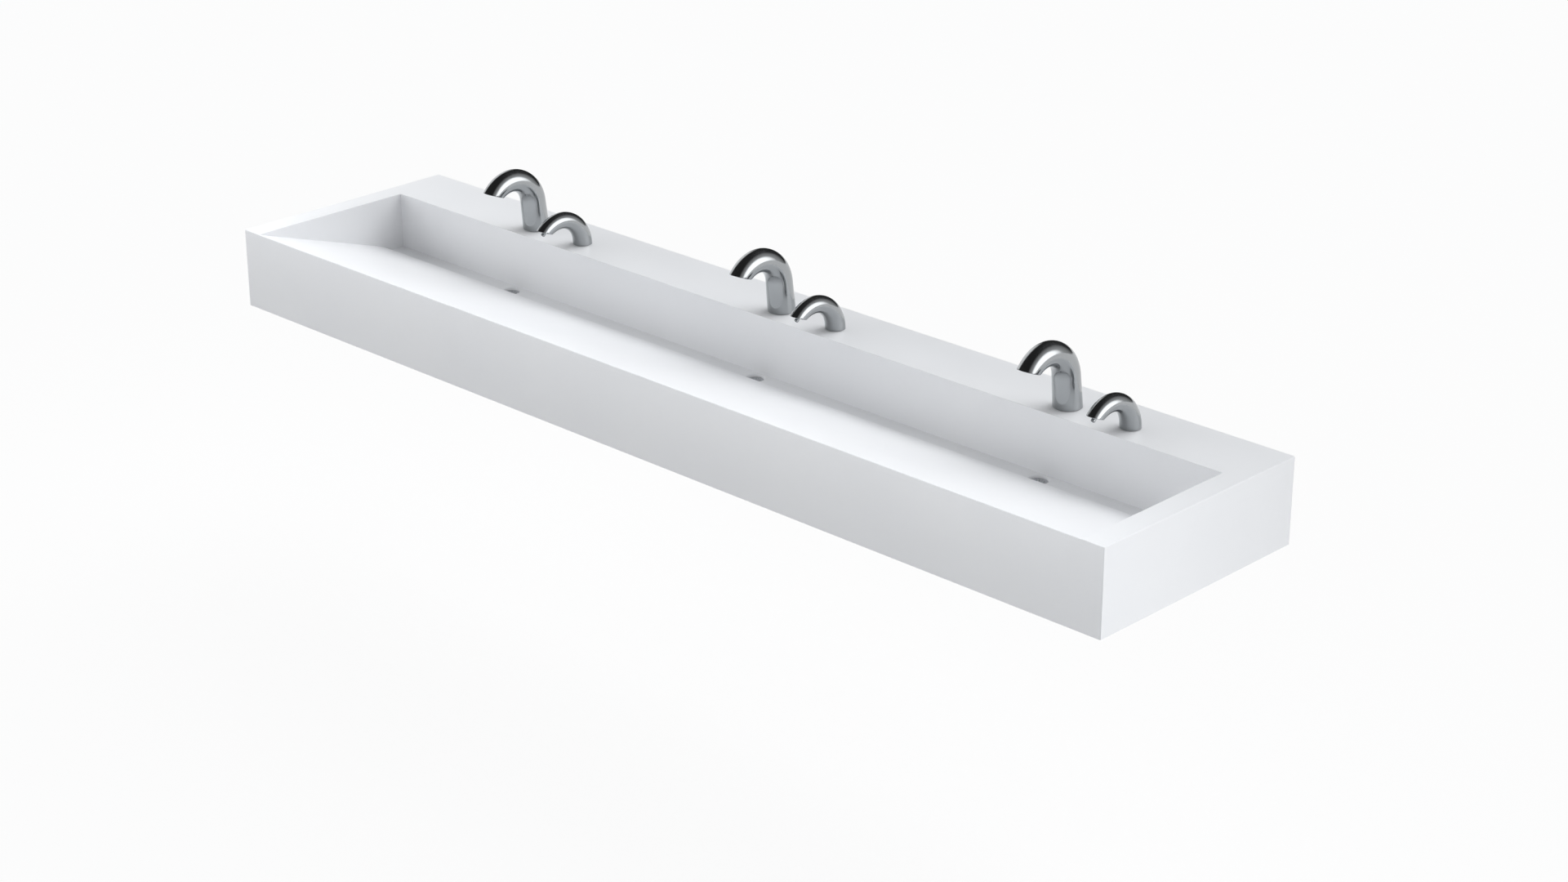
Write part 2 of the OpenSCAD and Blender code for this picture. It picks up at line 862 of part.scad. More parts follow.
// Threaded shanks of the soap spouts
module soap_shanks() {
    collar_r = soap_base_r - spout_wall - collar_clear;
    color(brass_yellow)
        for (s = STATIONS)
            translate([soap_x(s), spout_y, 0])
                difference() {
                    union() {
                        translate([0, 0, soap_shank_end_z])
                            cylinder(r = soap_shank_r, h = trough_h + gasket_t - soap_shank_end_z);
                        translate([0, 0, trough_h + gasket_t])
                            cylinder(r = collar_r, h = collar_t);
                    }
                    translate([0, 0, soap_shank_end_z - over])
                        cylinder(
                            r = soap_way_r,
                            h = trough_h + gasket_t + collar_t - soap_shank_end_z + 2 * over,
                            $fn = 32
                        );
                }
}

// Thin gaskets between the soap spouts and the deck
module soap_gaskets() {
    color(rubber_black)
        for (s = STATIONS)
            translate([soap_x(s), spout_y, trough_h])
                ring(soap_base_r - gasket_inset, soap_shank_r + thread_clear, gasket_t);
}

// Nuts under the deck that clamp the soap spouts
module soap_nuts() {
    color(brass_yellow)
        for (s = STATIONS)
            translate([soap_x(s), spout_y, deck_under])
                hanging_nut(
                    soap_hole_r + nut_flange_over, soap_nut_corner_r, soap_shank_r + thread_clear,
                    nut_flange_t, nut_t
                );
}

// Valve block: inlet thread below, outlet nipple at the side and a bore for the stop's stem
module water_valve(s) {
    color(brass_yellow)
        translate([station_x(s) - box_right, valve_mid_y, 0])
            difference() {
                union() {
                    translate([-valve_len / 2, 0, valve_under])
                        rounded_block(valve_len, valve_d, valve_h, valve_corner_r);
                    translate([-inlet_shift, 0, valve_under - inlet_len])
                        cylinder(r = inlet_r, h = inlet_len + over);
                    translate([-over, -tube_shift, outlet_z])
                        rotate([0, 90, 0])
                            cylinder(r = nipple_r, h = nipple_len + over);
                }
                translate([-inlet_shift, 0, valve_under - inlet_len - over])
                    cylinder(r = inlet_way_r, h = inlet_len + inlet_way_depth + over);
                translate([-knob_shift, 0, valve_under - over])
                    cylinder(r = stem_r + run_clear, h = stem_len + seat_gap + over);
                translate([-inlet_shift, -tube_shift, outlet_z])
                    rotate([0, 90, 0])
                        cylinder(r = tube_bore_r, h = inlet_shift + nipple_len + over, $fn = 32);
            }
}

// Quarter-turn stop knob below the valve
module stop_knob(s) {
    color(case_grey)
        translate([station_x(s) - box_right - knob_shift, valve_mid_y, valve_under - seat_gap])
            union() {
                cylinder(r = stem_r, h = stem_len);
                translate([0, 0, -knob_hub_h])
                    cylinder(r = knob_hub_r, h = knob_hub_h);
                translate([-knob_wing_w / 2, -knob_reach, -knob_hub_h - knob_wing_h])
                    intersection() {
                        cube([knob_wing_w, 2 * knob_reach, knob_wing_h]);
                        translate([knob_wing_w / 2, knob_reach, 0])
                            cylinder(r = knob_reach, h = knob_wing_h);
                    }
            }
}

// Coils on the far side of the valves
module solenoid_coils() {
    color(rubber_black)
        for (s = STATIONS)
            translate([station_x(s) - box_right - valve_len, valve_mid_y, outlet_z])
                rotate([0, -90, 0])
                    union() {
                        cylinder(r = coil_r, h = coil_len);
                        translate([0, 0, coil_len])
                            cylinder(r = coil_cap_r, h = coil_cap_len);
                    }
}

// A round bend that starts downwards at the origin and ends along -X
module down_bend(bend_r, r) {
    translate([-bend_r, 0, 0])
        rotate([-90, 0, 0])
            rotate_extrude(angle = 90)
                translate([bend_r, 0])
                    circle(r);
}

// Supply tubes from the valves up into the shanks
module supply_tubes() {
    bend_z = outlet_z + tube_bend_r;
    run = box_right - nipple_len - tube_bend_r;
    color(bottle_white)
        for (s = STATIONS)
            translate([station_x(s), spout_y - tube_shift, 0])
                union() {
                    translate([0, 0, bend_z])
                        cylinder(r = tube_r, h = trough_h - bore_stop - bend_z);
                    translate([0, 0, bend_z])
                        down_bend(tube_bend_r, tube_r);
                    translate([-tube_bend_r, 0, outlet_z])
                        rotate([0, -90, 0])
                            cylinder(r = tube_r, h = run);
                }
}

// Leads from the spouts' sensors to the control boxes
module sensor_leads() {
    bend_z = lead_z + lead_bend_r;
    run = box_right - gland_len - lead_bend_r;
    color(rubber_black)
        for (s = STATIONS)
            translate([station_x(s), spout_y + lead_shift, 0])
                union() {
                    translate([0, 0, bend_z])
                        cylinder(r = lead_r, h = trough_h - bore_stop - bend_z, $fn = 32);
                    translate([0, 0, bend_z])
                        down_bend(lead_bend_r, lead_r, $fn = 32);
                    translate([-lead_bend_r, 0, lead_z])
                        rotate([0, -90, 0])
                            cylinder(r = lead_r, h = run, $fn = 32);
                }
}

// Control box: an open case with screw lugs and the lead's gland
module control_box(s) {
    inner_len = box_len - 2 * box_wall;
    lug_x = (box_len + lug_w) / 2;
    lug_z = box_h - lug_h / 2 - box_corner_r;
    gland_y = spout_y + lead_shift - box_front_y - box_d / 2;
    color(case_grey)
        translate([station_x(s) - box_right - box_len / 2, box_front_y + box_d / 2, box_under])
            difference() {
                union() {
                    translate([0, lid_t / 2, 0])
                        along_y_block(box_len, box_d - lid_t, box_h, box_corner_r);
                    for (side = [-1, 1])
                        translate([side * lug_x, (box_d - lug_t) / 2, lug_z])
                            cube([lug_w + 2 * over, lug_t, lug_h], center = true);
                    translate([box_len / 2 - over, gland_y, lead_z - box_under])
                        rotate([0, 90, 0])
                            cylinder(r = gland_r, h = gland_len + over);
                }
                translate([0, -box_wall, box_wall])
                    along_y_block(inner_len, box_d, box_h - 2 * box_wall, box_corner_r);
                for (side = [-1, 1])
                    translate([side * lug_x, box_d / 2 - lug_t - over, lug_z])
                        rotate([-90, 0, 0])
                            cylinder(r = box_screw_r + screw_clear, h = lug_t + 2 * over);
            }
}

// A block whose edges along Y are rounded, its bottom at z = 0
module along_y_block(len, depth, height, r) {
    translate([0, depth / 2, height / 2])
        rotate([90, 0, 0])
            rounded_block(len, height, depth, r);
}

// Lids on the fronts of the control boxes
module control_lids() {
    color(rubber_black)
        for (s = STATIONS)
            translate([station_x(s) - box_right - box_len / 2, box_front_y + lid_t / 2, box_under])
                along_y_block(box_len, lid_t, box_h, box_corner_r);
}

// Battery packs inside the control boxes
module battery_packs() {
    color(steel_grey)
        for (s = STATIONS, k = [-1, 1])
            translate([
                station_x(s) - box_right - box_len / 2 + k * (battery_r + battery_gap / 2),
                rail_y - box_wall,
                box_under + box_wall + battery_r
            ])
                rotate([90, 0, 0])
                    cylinder(r = battery_r, h = battery_len);
}

// Places of one control box's screws on the rail's front face, their heads towards the front
module box_screw_places(s) {
    for (side = [-1, 1])
        translate([
            station_x(s) - box_right - box_len / 2 + side * (box_len + lug_w) / 2,
            rail_y,
            box_under + box_h - lug_h / 2 - box_corner_r
        ])
            rotate([90, 0, 0])
                children();
}

// Screws that hold the control boxes to the rail
module box_screws() {
    color(steel_grey)
        for (s = STATIONS)
            box_screw_places(s) {
                translate([0, 0, lug_t])
                    cylinder(r = box_screw_head_r, h = box_screw_head_t);
                translate([0, 0, -box_screw_bite])
                    cylinder(r = box_screw_r, h = box_screw_bite + lug_t + box_screw_head_t, $fn = 32);
            }
}

// Soap pump on its shank, with the bottle's bayonet socket and a seat for the dip tube
module soap_pump(s) {
    body_d = pump_front + pump_back;
    body_mid = (pump_back - pump_front) / 2;
    lug_z = pump_under + lug_rise;
    groove_r = neck_r + lug_reach + 2 * bayonet_slack;
    color(case_grey)
        translate([soap_x(s), spout_y, 0])
            union() {
                difference() {
                    translate([0, body_mid, pump_under])
                        rounded_block(2 * pump_half_w, body_d, pump_h, pump_corner_r);
                    translate([0, 0, soap_shank_end_z])
                        cylinder(r = soap_shank_r + thread_clear, h = pump_engage + over);
                    translate([0, bottle_shift, pump_under - over])
                        cylinder(r = neck_r + run_clear, h = socket_depth + over);
                    translate([0, bottle_shift, pump_under])
                        cylinder(r = dip_r + dip_clear, h = socket_depth + dip_bite);
                    translate([0, bottle_shift, lug_z - bayonet_slack])
                        cylinder(r = groove_r, h = bayonet_h + 2 * bayonet_slack);
                    translate([0, bottle_shift, pump_under - over])
                        rotate([0, 0, bayonet_turn])
                            bayonet_lugs(bayonet_slack, lug_rise + over + bayonet_h);
                }
                translate([0, pump_back - pump_corner_r - motor_r, pump_top])
                    cylinder(r = motor_r, h = motor_h);
            }
}

// Tubes from the pumps down into the bottles
module dip_tubes() {
    dip_end_z = bottle_gap + dip_gap;
    color(bottle_white)
        for (s = STATIONS)
            translate([soap_x(s), bottle_y, dip_end_z])
                ring(dip_r, dip_r - dip_wall, pump_under + socket_depth + dip_bite - dip_end_z);
}

// Two opposite lugs around the neck, as the ends of a bar cut round
module bayonet_lugs(slack, height) {
    lug_r = neck_r + lug_reach + slack;
    half_w = lug_r * sin(bayonet_lug_deg / 2) + slack;
    intersection() {
        cylinder(r = lug_r, h = height);
        translate([-lug_r, -half_w, 0])
            cube([2 * lug_r, 2 * half_w, height]);
    }
}

// Soap bottle with its neck up in the pump's socket
module soap_bottle(s) {
    body_top = pump_under - neck_air;
    body_h = body_top - bottle_gap;
    neck_top = pump_under + socket_depth - seat_gap;
    color(bottle_white)
        translate([soap_x(s), bottle_y, 0])
            difference() {
                union() {
                    translate([0, 0, bottle_gap])
                        round_drum(bottle_r, body_h, bottle_round);
                    translate([0, 0, body_top - over])
                        cylinder(r = neck_r, h = neck_top - body_top + over);
                    translate([0, 0, pump_under + lug_rise])
                        bayonet_lugs(0, bayonet_h);
                }
                translate([0, 0, bottle_gap + bottle_wall])
                    round_drum(
                        bottle_r - bottle_wall, body_h - 2 * bottle_wall, bottle_round - bottle_wall
                    );
                translate([0, 0, bottle_gap + body_h / 2])
                    cylinder(r = neck_r - neck_wall, h = neck_top);
            }
}

// Drum with rounded rims
module round_drum(r, height, round_r) {
    rotate_extrude()
        union() {
            square([r - round_r, height]);
            translate([0, round_r])
                square([r, height - 2 * round_r]);
            for (z = [round_r, height - round_r])
                translate([r - round_r, z])
                    circle(round_r);
        }
}

deck_panel();
front_apron();
end_panel(-1);  // left_end_panel
end_panel(1);  // right_end_panel
ramp_panel();
gutter_floor();
rear_basin_wall();
side_basin_wall(-1);  // left_basin_wall
side_basin_wall(1);  // right_basin_wall
rear_rail();
for (b = BRACKETS)
    support_bracket(b);
bracket_screws();
drain_grids();
drain_gaskets();
drain_locknuts();
spout_outlets();
spout_shanks();
spout_gaskets();
spout_nuts();
soap_shanks();
soap_gaskets();
soap_nuts();
solenoid_coils();
supply_tubes();
sensor_leads();
control_lids();
battery_packs();
box_screws();
dip_tubes();
for (s = STATIONS) {
    drain_body(s);
    water_spout(s);
    soap_spout(s);
    soap_nozzle(s);
    water_valve(s);
    stop_knob(s);
    control_box(s);
    soap_pump(s);
    soap_bottle(s);
}
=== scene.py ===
# Looks of the wall-hung trough sink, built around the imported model. Metres, +X along the
# trough, +Y towards the wall, +Z up.
import json
import math

import bpy
import numpy as np
from mathutils import Matrix, Vector


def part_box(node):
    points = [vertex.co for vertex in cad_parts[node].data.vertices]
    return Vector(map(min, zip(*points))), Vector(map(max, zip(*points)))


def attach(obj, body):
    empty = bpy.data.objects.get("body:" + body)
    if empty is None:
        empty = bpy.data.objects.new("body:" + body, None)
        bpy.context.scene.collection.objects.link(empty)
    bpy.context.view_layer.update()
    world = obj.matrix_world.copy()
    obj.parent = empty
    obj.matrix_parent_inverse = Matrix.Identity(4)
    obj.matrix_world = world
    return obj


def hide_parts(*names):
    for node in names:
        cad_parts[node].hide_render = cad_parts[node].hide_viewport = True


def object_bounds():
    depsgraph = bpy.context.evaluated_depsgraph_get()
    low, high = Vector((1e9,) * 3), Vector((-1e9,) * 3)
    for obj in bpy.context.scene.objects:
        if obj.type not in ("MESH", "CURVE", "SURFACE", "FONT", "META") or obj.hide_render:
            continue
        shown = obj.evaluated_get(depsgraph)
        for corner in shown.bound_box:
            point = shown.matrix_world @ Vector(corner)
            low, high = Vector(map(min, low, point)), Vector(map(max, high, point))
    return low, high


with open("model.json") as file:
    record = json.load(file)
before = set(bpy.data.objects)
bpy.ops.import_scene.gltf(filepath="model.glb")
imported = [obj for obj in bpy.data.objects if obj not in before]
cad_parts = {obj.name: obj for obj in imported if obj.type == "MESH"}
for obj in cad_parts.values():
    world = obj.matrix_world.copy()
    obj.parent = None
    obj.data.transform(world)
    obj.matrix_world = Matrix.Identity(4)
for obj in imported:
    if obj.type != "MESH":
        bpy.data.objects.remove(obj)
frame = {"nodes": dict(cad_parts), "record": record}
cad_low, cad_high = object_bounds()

MM = 0.001
STATIONS = (1, 2, 3)

# Camera, fitted to the trough's corners in the photograph
CAMERA_PLACE = Vector((4.190, -4.143, 2.401))
CAMERA_YAW = math.radians(-44.06)
CAMERA_PITCH = math.radians(22.687)
CAMERA_LENS = 71.03
CAMERA_SENSOR = 36.0
CAMERA_REACH = 100

# Stage
FLOOR_DROP = 0.6
FLOOR_SIZE = 60.0
FLOOR_GREY = 0.85
FLOOR_SHOWN_SHARE = 0.9

# Reflections: dark studio, and soft round panels as azimuth from +X, elevation, degrees to the
# full and to the faded edge, and strength
STUDIO_GREY = 0.03
PANELS = (
    (22, 13, 21, 33, 2.0),
    (22, 10, 28, 66, 0.62),
    (165, 12, 17, 30, 1.1),
)

# Soft light from round as azimuth from +X, elevation, narrowness and strength
LIGHT_TINT = (0.97, 0.985, 1, 1)
LIGHT_LOBES = (
    (90, 45, 8, 3.3),
    (180, 12, 8, 2.3),
    (225, 12, 8, 1.0),
    (45, 45, 8, 1.5),
    (45, 12, 8, 0.7),
)

# Area lamps as place, point that they face, width, depth and watts
LAMPS = {
    "front_rim": ((0, -0.5, 0.5), (0, -0.25, 0.12), 2.8, 0.15, 3.2),
    "left_end": ((-1.9, -0.45, 0.6), (-1.2, -0.15, 0.17), 0.6, 0.7, 2.6),
    "right_end": ((2.2, -0.4, 0.2), (1.2, -0.05, 0.1), 0.6, 0.9, 3.4),
}

# Water spout and soap spout: neck, bend, lean and turn in degrees, radii and wall
WATER_SPOUT = dict(neck=68 * MM, bend_r=65 * MM, lean=6.5, turn=132, base_r=29.5 * MM, neck_r=28.2 * MM,
                   tip_r=22.7 * MM)
SOAP_SPOUT = dict(neck=8 * MM, bend_r=66 * MM, lean=6, turn=125, base_r=21 * MM, neck_r=21.2 * MM,
                  tip_r=16.5 * MM)
SPOUT_WALL = 2.5 * MM
OUTLET_TILT = 20
CUT_BLEND_SHARE = 0.35
SPOUT_SIDES = 72
NECK_RINGS = 6
BEND_RINGS = 60
RIM_R = 0.9 * MM
RIM_RINGS = 5
FOOT_INSIDE_SHARE = 0.5
MOUTH_STEP_SHARE = 0.02
MOUTH_RINGS = 9

# Inserts in the water spouts' ends; the nubs' rows are shares of their radius and height
INSERT_DEPTH = 2.5 * MM
INSERT_CLEAR = 0.35 * MM
LOOK_BACK_SHARE = 0.05
DISH_LEN_SHARE = 0.096
DISH_EDGE_SHARE = 0.006
DISH_RIM = 2 * MM
DISH_SLOPE = 0.6 * MM
DISH_MIDDLE = 8 * MM
NUB_R = 1.5 * MM
NUB_H = 1.6 * MM
NUB_SHARES = ((1, 0), (0.8, 0.8), (0.6, 1), (0.35, 1), (0.3, 0.4))
NUB_COUNT = 6
NUB_CIRCLE_R = 5.2 * MM
NUB_SIDES = 16
SPRAY_BACK = 5 * MM
SENSOR_R = 4.6 * MM
SENSOR_H = 1.2 * MM
SENSOR_EDGE_H = 0.8 * MM
SENSOR_DISH = 0.2 * MM
SENSOR_AHEAD = 9.5 * MM
SENSOR_SIDES = 32

# Nozzles and their plugs in the soap spouts' ends
NOZZLE_R = 4.5 * MM
NOZZLE_OUT = 9 * MM
NOZZLE_IN_SHARE = 0.6
NOZZLE_BORE_R = 2.6 * MM
NOZZLE_SIDES = 40
TIP_R = 1.4 * MM
TIP_STEPS = 4
PLUG_DEPTH = 1.2 * MM
PLUG_LEN_SHARE = 0.1
PLUG_EDGE_SHARE = 0.004
PLUG_MIDDLE = 4 * MM

# Turned and threaded parts
EASE = 0.5 * MM
SIDES = 72
HEX_CHAMFER_SHARE = 1.03
HEX_HALF = math.pi / 6
LEAST_CORNER_R = 0.05 * MM
SHANK_PITCH = 2.2 * MM
THREAD_DEPTH = 0.9 * MM
ROWS_PER_TURN = 6
BORE_STOP = 8 * MM
COLLAR_T = 6 * MM
SHEET_T = 12.7 * MM
NUT_FLANGE_T = 3 * MM
NUT_FLANGE_SHARE = 0.955
NUT_CORNERS = {"spout_nuts": 26 * MM, "soap_nuts": 18 * MM, "drain_locknuts": 25 * MM}
NUT_BORES = {"spout_nuts": 16.1 * MM, "soap_nuts": 11.1 * MM, "drain_locknuts": 16.6 * MM}

# Shanks: radius of the thread and of the bore
SHANKS = {"spout_shanks": (16 * MM, 9 * MM), "soap_shanks": (11 * MM, 4 * MM)}

# Screws: radius of the shank and thickness of the head; then shares of the head and its socket
SCREWS = {"bracket_screws": (3 * MM, 3 * MM), "box_screws": (2 * MM, 2.4 * MM)}
HEAD_RIM_SHARE = 0.7
HEAD_DOME_SHARE = 0.3
DOME_STEPS = 3
KEY_SHARE = 0.52
KEY_MOUTH_SHARE = 1.12
KEY_EDGE_SHARE = 0.08
KEY_DEPTH_SHARE = 0.6
SCREW_SIDES = 36

# Valve, coil and knob, from the valve's own corners
VALVE_LEN = 60 * MM
VALVE_CORNER_R = 4 * MM
VALVE_EASE = 2 * MM
INLET_R = 10.4 * MM
INLET_LEN = 14 * MM
INLET_NECK = 3 * MM
INLET_BORE_R = 7 * MM
INLET_SHIFT = 14 * MM
INLET_PITCH = 1.8 * MM
OUTLET_RISE = 25 * MM
TUBE_SHIFT = 3 * MM
TUBE_R = 5 * MM
TUBE_FLARE = 0.4 * MM
TUBE_FIT = 0.1 * MM
NIPPLE_R = 7.5 * MM
NIPPLE_LEN = 8 * MM
NIPPLE_BACK_SHARE = 0.7
NIPPLE_SINK = 1 * MM
BOSS_RIM = 1.5 * MM
BOSS_H = 0.2 * MM
BOSS_EASE = 0.1 * MM
COIL_LEN = 30 * MM
COIL_CORE_SHARE = 0.6
COIL_GROOVE_SHARES = (0.28, 0.44, 0.6, 0.76)
COIL_GROOVE_DEPTH = 0.8 * MM
COIL_GROOVE_HALF = 1.1 * MM
COIL_FLOOR_HALF = 0.7 * MM
COIL_CHAMFER = 2 * MM
CAP_SHARE = 0.66
CAP_BORE_SHARE = 0.3
KNOB_SHIFT = 46 * MM
KNOB_HUB_H = 5 * MM
KNOB_HUB_R = 8 * MM
KNOB_HUB_EASE = 1.2 * MM
KNOB_STEM_R = 4 * MM
KNOB_WING_W = 9 * MM
KNOB_WING_H = 10 * MM
KNOB_WING_EASE = 2.4 * MM
KNOB_ROUND_SHARE = 0.98
KNOB_STEPS = 5

# Control box, its lid, lugs and gland; the gland's ribs are shares of its radius and length
BOX_CORNER_R = 5 * MM
CASE_LIP = 0.8 * MM
CASE_LIP_H = 1.2 * MM
CASE_CHAMFER = 1.5 * MM
GROOVE_SHARE = 0.5
GROOVE_DEPTH = 0.7 * MM
GROOVE_SLOPE = 0.3 * MM
GROOVE_W = 1.6 * MM
LID_ROUND = 1.2 * MM
LID_BEVEL = 0.4 * MM
LID_RIM_W = 5 * MM
LID_DISH = 0.8 * MM
LID_MIDDLE = 12 * MM
LUG_W = 14 * MM
LUG_T = 3 * MM
LUG_H = 22 * MM
LUG_CORNER_R = 3 * MM
LUG_EASE = 0.6 * MM
GLAND_R = 4 * MM
GLAND_LEN = 7 * MM
GLAND_BACK_SHARE = 0.6
GLAND_NUT_SHARE = 0.45
GLAND_RIB_SHARES = ((0.86, 0.5), (0.77, 0.66), (0.68, 0.82))
GLAND_RIB_W_SHARE = 0.08
GLAND_STEP_SHARE = 0.09
GLAND_RIB_DEPTH = 0.4 * MM
GLAND_MOUTH_SHARE = 0.58
LEAD_DROP = 25 * MM

# Soap pump
PUMP_H = 42 * MM
PUMP_CORNER_R = 10 * MM
PUMP_CHAMFER = 1.2 * MM
PUMP_EASE = 3 * MM
PUMP_STEPS = 4
SEAM_SHARE = 0.42
SEAM_DEPTH = 0.6 * MM
SEAM_SLOPE = 0.3 * MM
SEAM_W = 1.5 * MM
MOTOR_R = 14 * MM
MOTOR_SINK = 0.5 * MM
MOTOR_WALL_SHARE = 0.35
SOCKET_DEPTH = 12 * MM

# Soap bottle; the base's rows and a rib's rows are shares of their width and height
NECK_R = 22 * MM
RUN_CLEAR = 0.08 * MM
NECK_WALL = 3 * MM
NECK_AIR = 3.5 * MM
NECK_FILLET = 3 * MM
BOTTLE_ROUND = 12 * MM
BOTTLE_WALL = 1.8 * MM
BOTTLE_STEPS = 8
BASE_RISE = 2.5 * MM
BASE_SHARES = ((0.55, 1), (0.62, 0.24))
INNER_BASE_SHARES = ((0.6, 0), (0.5, 1))
RIB_DEPTH = 0.9 * MM
RIB_HALF = 2.6 * MM
RIB_FORM_SHARES = ((0, -1), (0.7, -0.5), (1, 0), (0.7, 0.5), (0, 1))
RIB_PLACE_SHARES = (0.2, 0.4, 0.6, 0.8)
BAYONET_REACH = 2.5 * MM
BAYONET_RISE = 4 * MM
BAYONET_BAND = 3 * MM
BAYONET_STEP = 0.01 * MM
BAYONET_HALF_ANGLE = 12

# Loose triangles are joined within this reach and smoothed up to this angle in degrees
MERGE_REACH = 0.01 * MM
SMOOTH_ANGLE = 32
POINT_DECIMALS = 6
BOX_DECIMALS = 4

# Colours of the cast sheet
SHEET_SHADE = (0.862, 0.868, 0.885)
SHEET_WHITE = (0.884, 0.888, 0.9)

# Metals: colour, least and most roughness, scale of the polish and strength of its bump
METALS = {
    "galvanised_steel": ((0.6, 0.62, 0.64), 0.34, 0.52, 90, 0.2),
    "drain_metal": ((0.58, 0.59, 0.61), 0.22, 0.34, 300, 0.1),
    "chrome": ((0.39, 0.405, 0.415), 0.1, 0.14, 60, 0),
    "brass": ((0.72, 0.55, 0.26), 0.25, 0.42, 120, 0.15),
}
METAL_DULL_SHARE = 0.94
METAL_TINT_SHARE = 0.25
METAL_BUMP = 0.1 * MM

# Plastics and rubber: colour, least and most roughness and strength of the grain's bump
PLASTICS = {
    "rubber": ((0.02, 0.02, 0.022), 0.55, 0.75, 0.15),
    "black_plastic": ((0.018, 0.018, 0.02), 0.35, 0.5, 0.15),
    "grey_case": ((0.06, 0.065, 0.075), 0.42, 0.56, 0.15),
    "knob_plastic": ((0.015, 0.07, 0.28), 0.28, 0.4, 0.15),
    "white_tube": ((0.72, 0.75, 0.75), 0.3, 0.42, 0.15),
    "battery_wrap": ((0.03, 0.035, 0.04), 0.2, 0.3, 0.15),
    "bottle_plastic": ((0.72, 0.76, 0.75), 0.3, 0.42, 0.15),
    "sensor_glass": ((0.02, 0.004, 0.006), 0.06, 0.1, 0),
}
PLASTIC_DARK_SHARE = 0.88
PLASTIC_PATCH_SCALE = 25
PLASTIC_GRAIN_SCALE = 900
PLASTIC_BUMP = 0.08 * MM


def make_camera():
    """Camera at the photograph's viewing angle."""
    data = bpy.data.cameras.new("camera")
    data.sensor_width = CAMERA_SENSOR
    data.lens = CAMERA_LENS
    data.clip_end = CAMERA_REACH
    camera = bpy.data.objects.new("camera", data)
    forward = Vector((
        math.sin(CAMERA_YAW) * math.cos(CAMERA_PITCH),
        math.cos(CAMERA_YAW) * math.cos(CAMERA_PITCH),
        -math.sin(CAMERA_PITCH),
    ))
    camera.location = CAMERA_PLACE
    camera.rotation_euler = forward.to_track_quat("-Z", "Y").to_euler()
    bpy.context.scene.collection.objects.link(camera)
    bpy.context.scene.camera = camera


def new_material(name):
    """Empty node material; returns it with its node tree and the shader."""
    material = bpy.data.materials.new(name)
    material.use_nodes = True
    tree = material.node_tree
    shader = tree.nodes["Principled BSDF"]
    return material, tree, shader


def noise_node(tree, scale, detail=3, roughness=0.5):
    """Noise in the part's own coordinates, which run on from piece to piece."""
    place = tree.nodes.new("ShaderNodeTexCoord")
    noise = tree.nodes.new("ShaderNodeTexNoise")
    noise.inputs["Scale"].default_value = scale
    noise.inputs["Detail"].default_value = detail
    noise.inputs["Roughness"].default_value = roughness
    tree.links.new(place.outputs["Object"], noise.inputs["Vector"])
    return noise


def ramp_node(tree, source, low, high, start=0.3, end=0.7):
    """Colour ramp from low to high over part of the source's range."""
    ramp = tree.nodes.new("ShaderNodeValToRGB")
    ramp.color_ramp.elements[0].position = start
    ramp.color_ramp.elements[0].color = (*low, 1)
    ramp.color_ramp.elements[1].position = end
    ramp.color_ramp.elements[1].color = (*high, 1)
    tree.links.new(source, ramp.inputs["Fac"])
    return ramp


def range_node(tree, source, low, high, start=0.3, end=0.7):
    """Maps part of the source's range to the numbers from low to high."""
    node = tree.nodes.new("ShaderNodeMapRange")
    for name, value in (("From Min", start), ("From Max", end), ("To Min", low), ("To Max", high)):
        node.inputs[name].default_value = value
    tree.links.new(source, node.inputs["Value"])
    return node


def bump_node(tree, shader, source, strength, distance):
    """Bump on the shader's normal."""
    bump = tree.nodes.new("ShaderNodeBump")
    bump.inputs["Strength"].default_value = strength
    bump.inputs["Distance"].default_value = distance
    tree.links.new(source, bump.inputs["Height"])
    tree.links.new(bump.outputs["Normal"], shader.inputs["Normal"])


def solid_surface_material():
    """Cast white sheet: near-even colour, satin sheen that varies a little from wiping."""
    material, tree, shader = new_material("solid_surface")
    cloud = noise_node(tree, scale=3, detail=4)
    colour = ramp_node(tree, cloud.outputs["Fac"], SHEET_SHADE, SHEET_WHITE)
    tree.links.new(colour.outputs["Color"], shader.inputs["Base Color"])
    wipe = noise_node(tree, scale=14, detail=5, roughness=0.6)
    gloss = range_node(tree, wipe.outputs["Fac"], low=0.36, high=0.46)
    tree.links.new(gloss.outputs["Result"], shader.inputs["Roughness"])
    grain = noise_node(tree, scale=1400, detail=2)
    bump_node(tree, shader, grain.outputs["Fac"], strength=0.05, distance=0.05 * MM)
    return material


def metal_material(name, base, low_rough, high_rough, polish_scale, bump):
    """Metal with a slightly uneven polish."""
    material, tree, shader = new_material(name)
    shader.inputs["Metallic"].default_value = 1
    tint = noise_node(tree, polish_scale * METAL_TINT_SHARE)
    dull = tuple(METAL_DULL_SHARE * c for c in base)
    colour = ramp_node(tree, tint.outputs["Fac"], dull, base)
    tree.links.new(colour.outputs["Color"], shader.inputs["Base Color"])
    polish = noise_node(tree, polish_scale, detail=4, roughness=0.6)
    gloss = range_node(tree, polish.outputs["Fac"], low_rough, high_rough)
    tree.links.new(gloss.outputs["Result"], shader.inputs["Roughness"])
    if bump:
        bump_node(tree, shader, polish.outputs["Fac"], bump, METAL_BUMP)
    return material


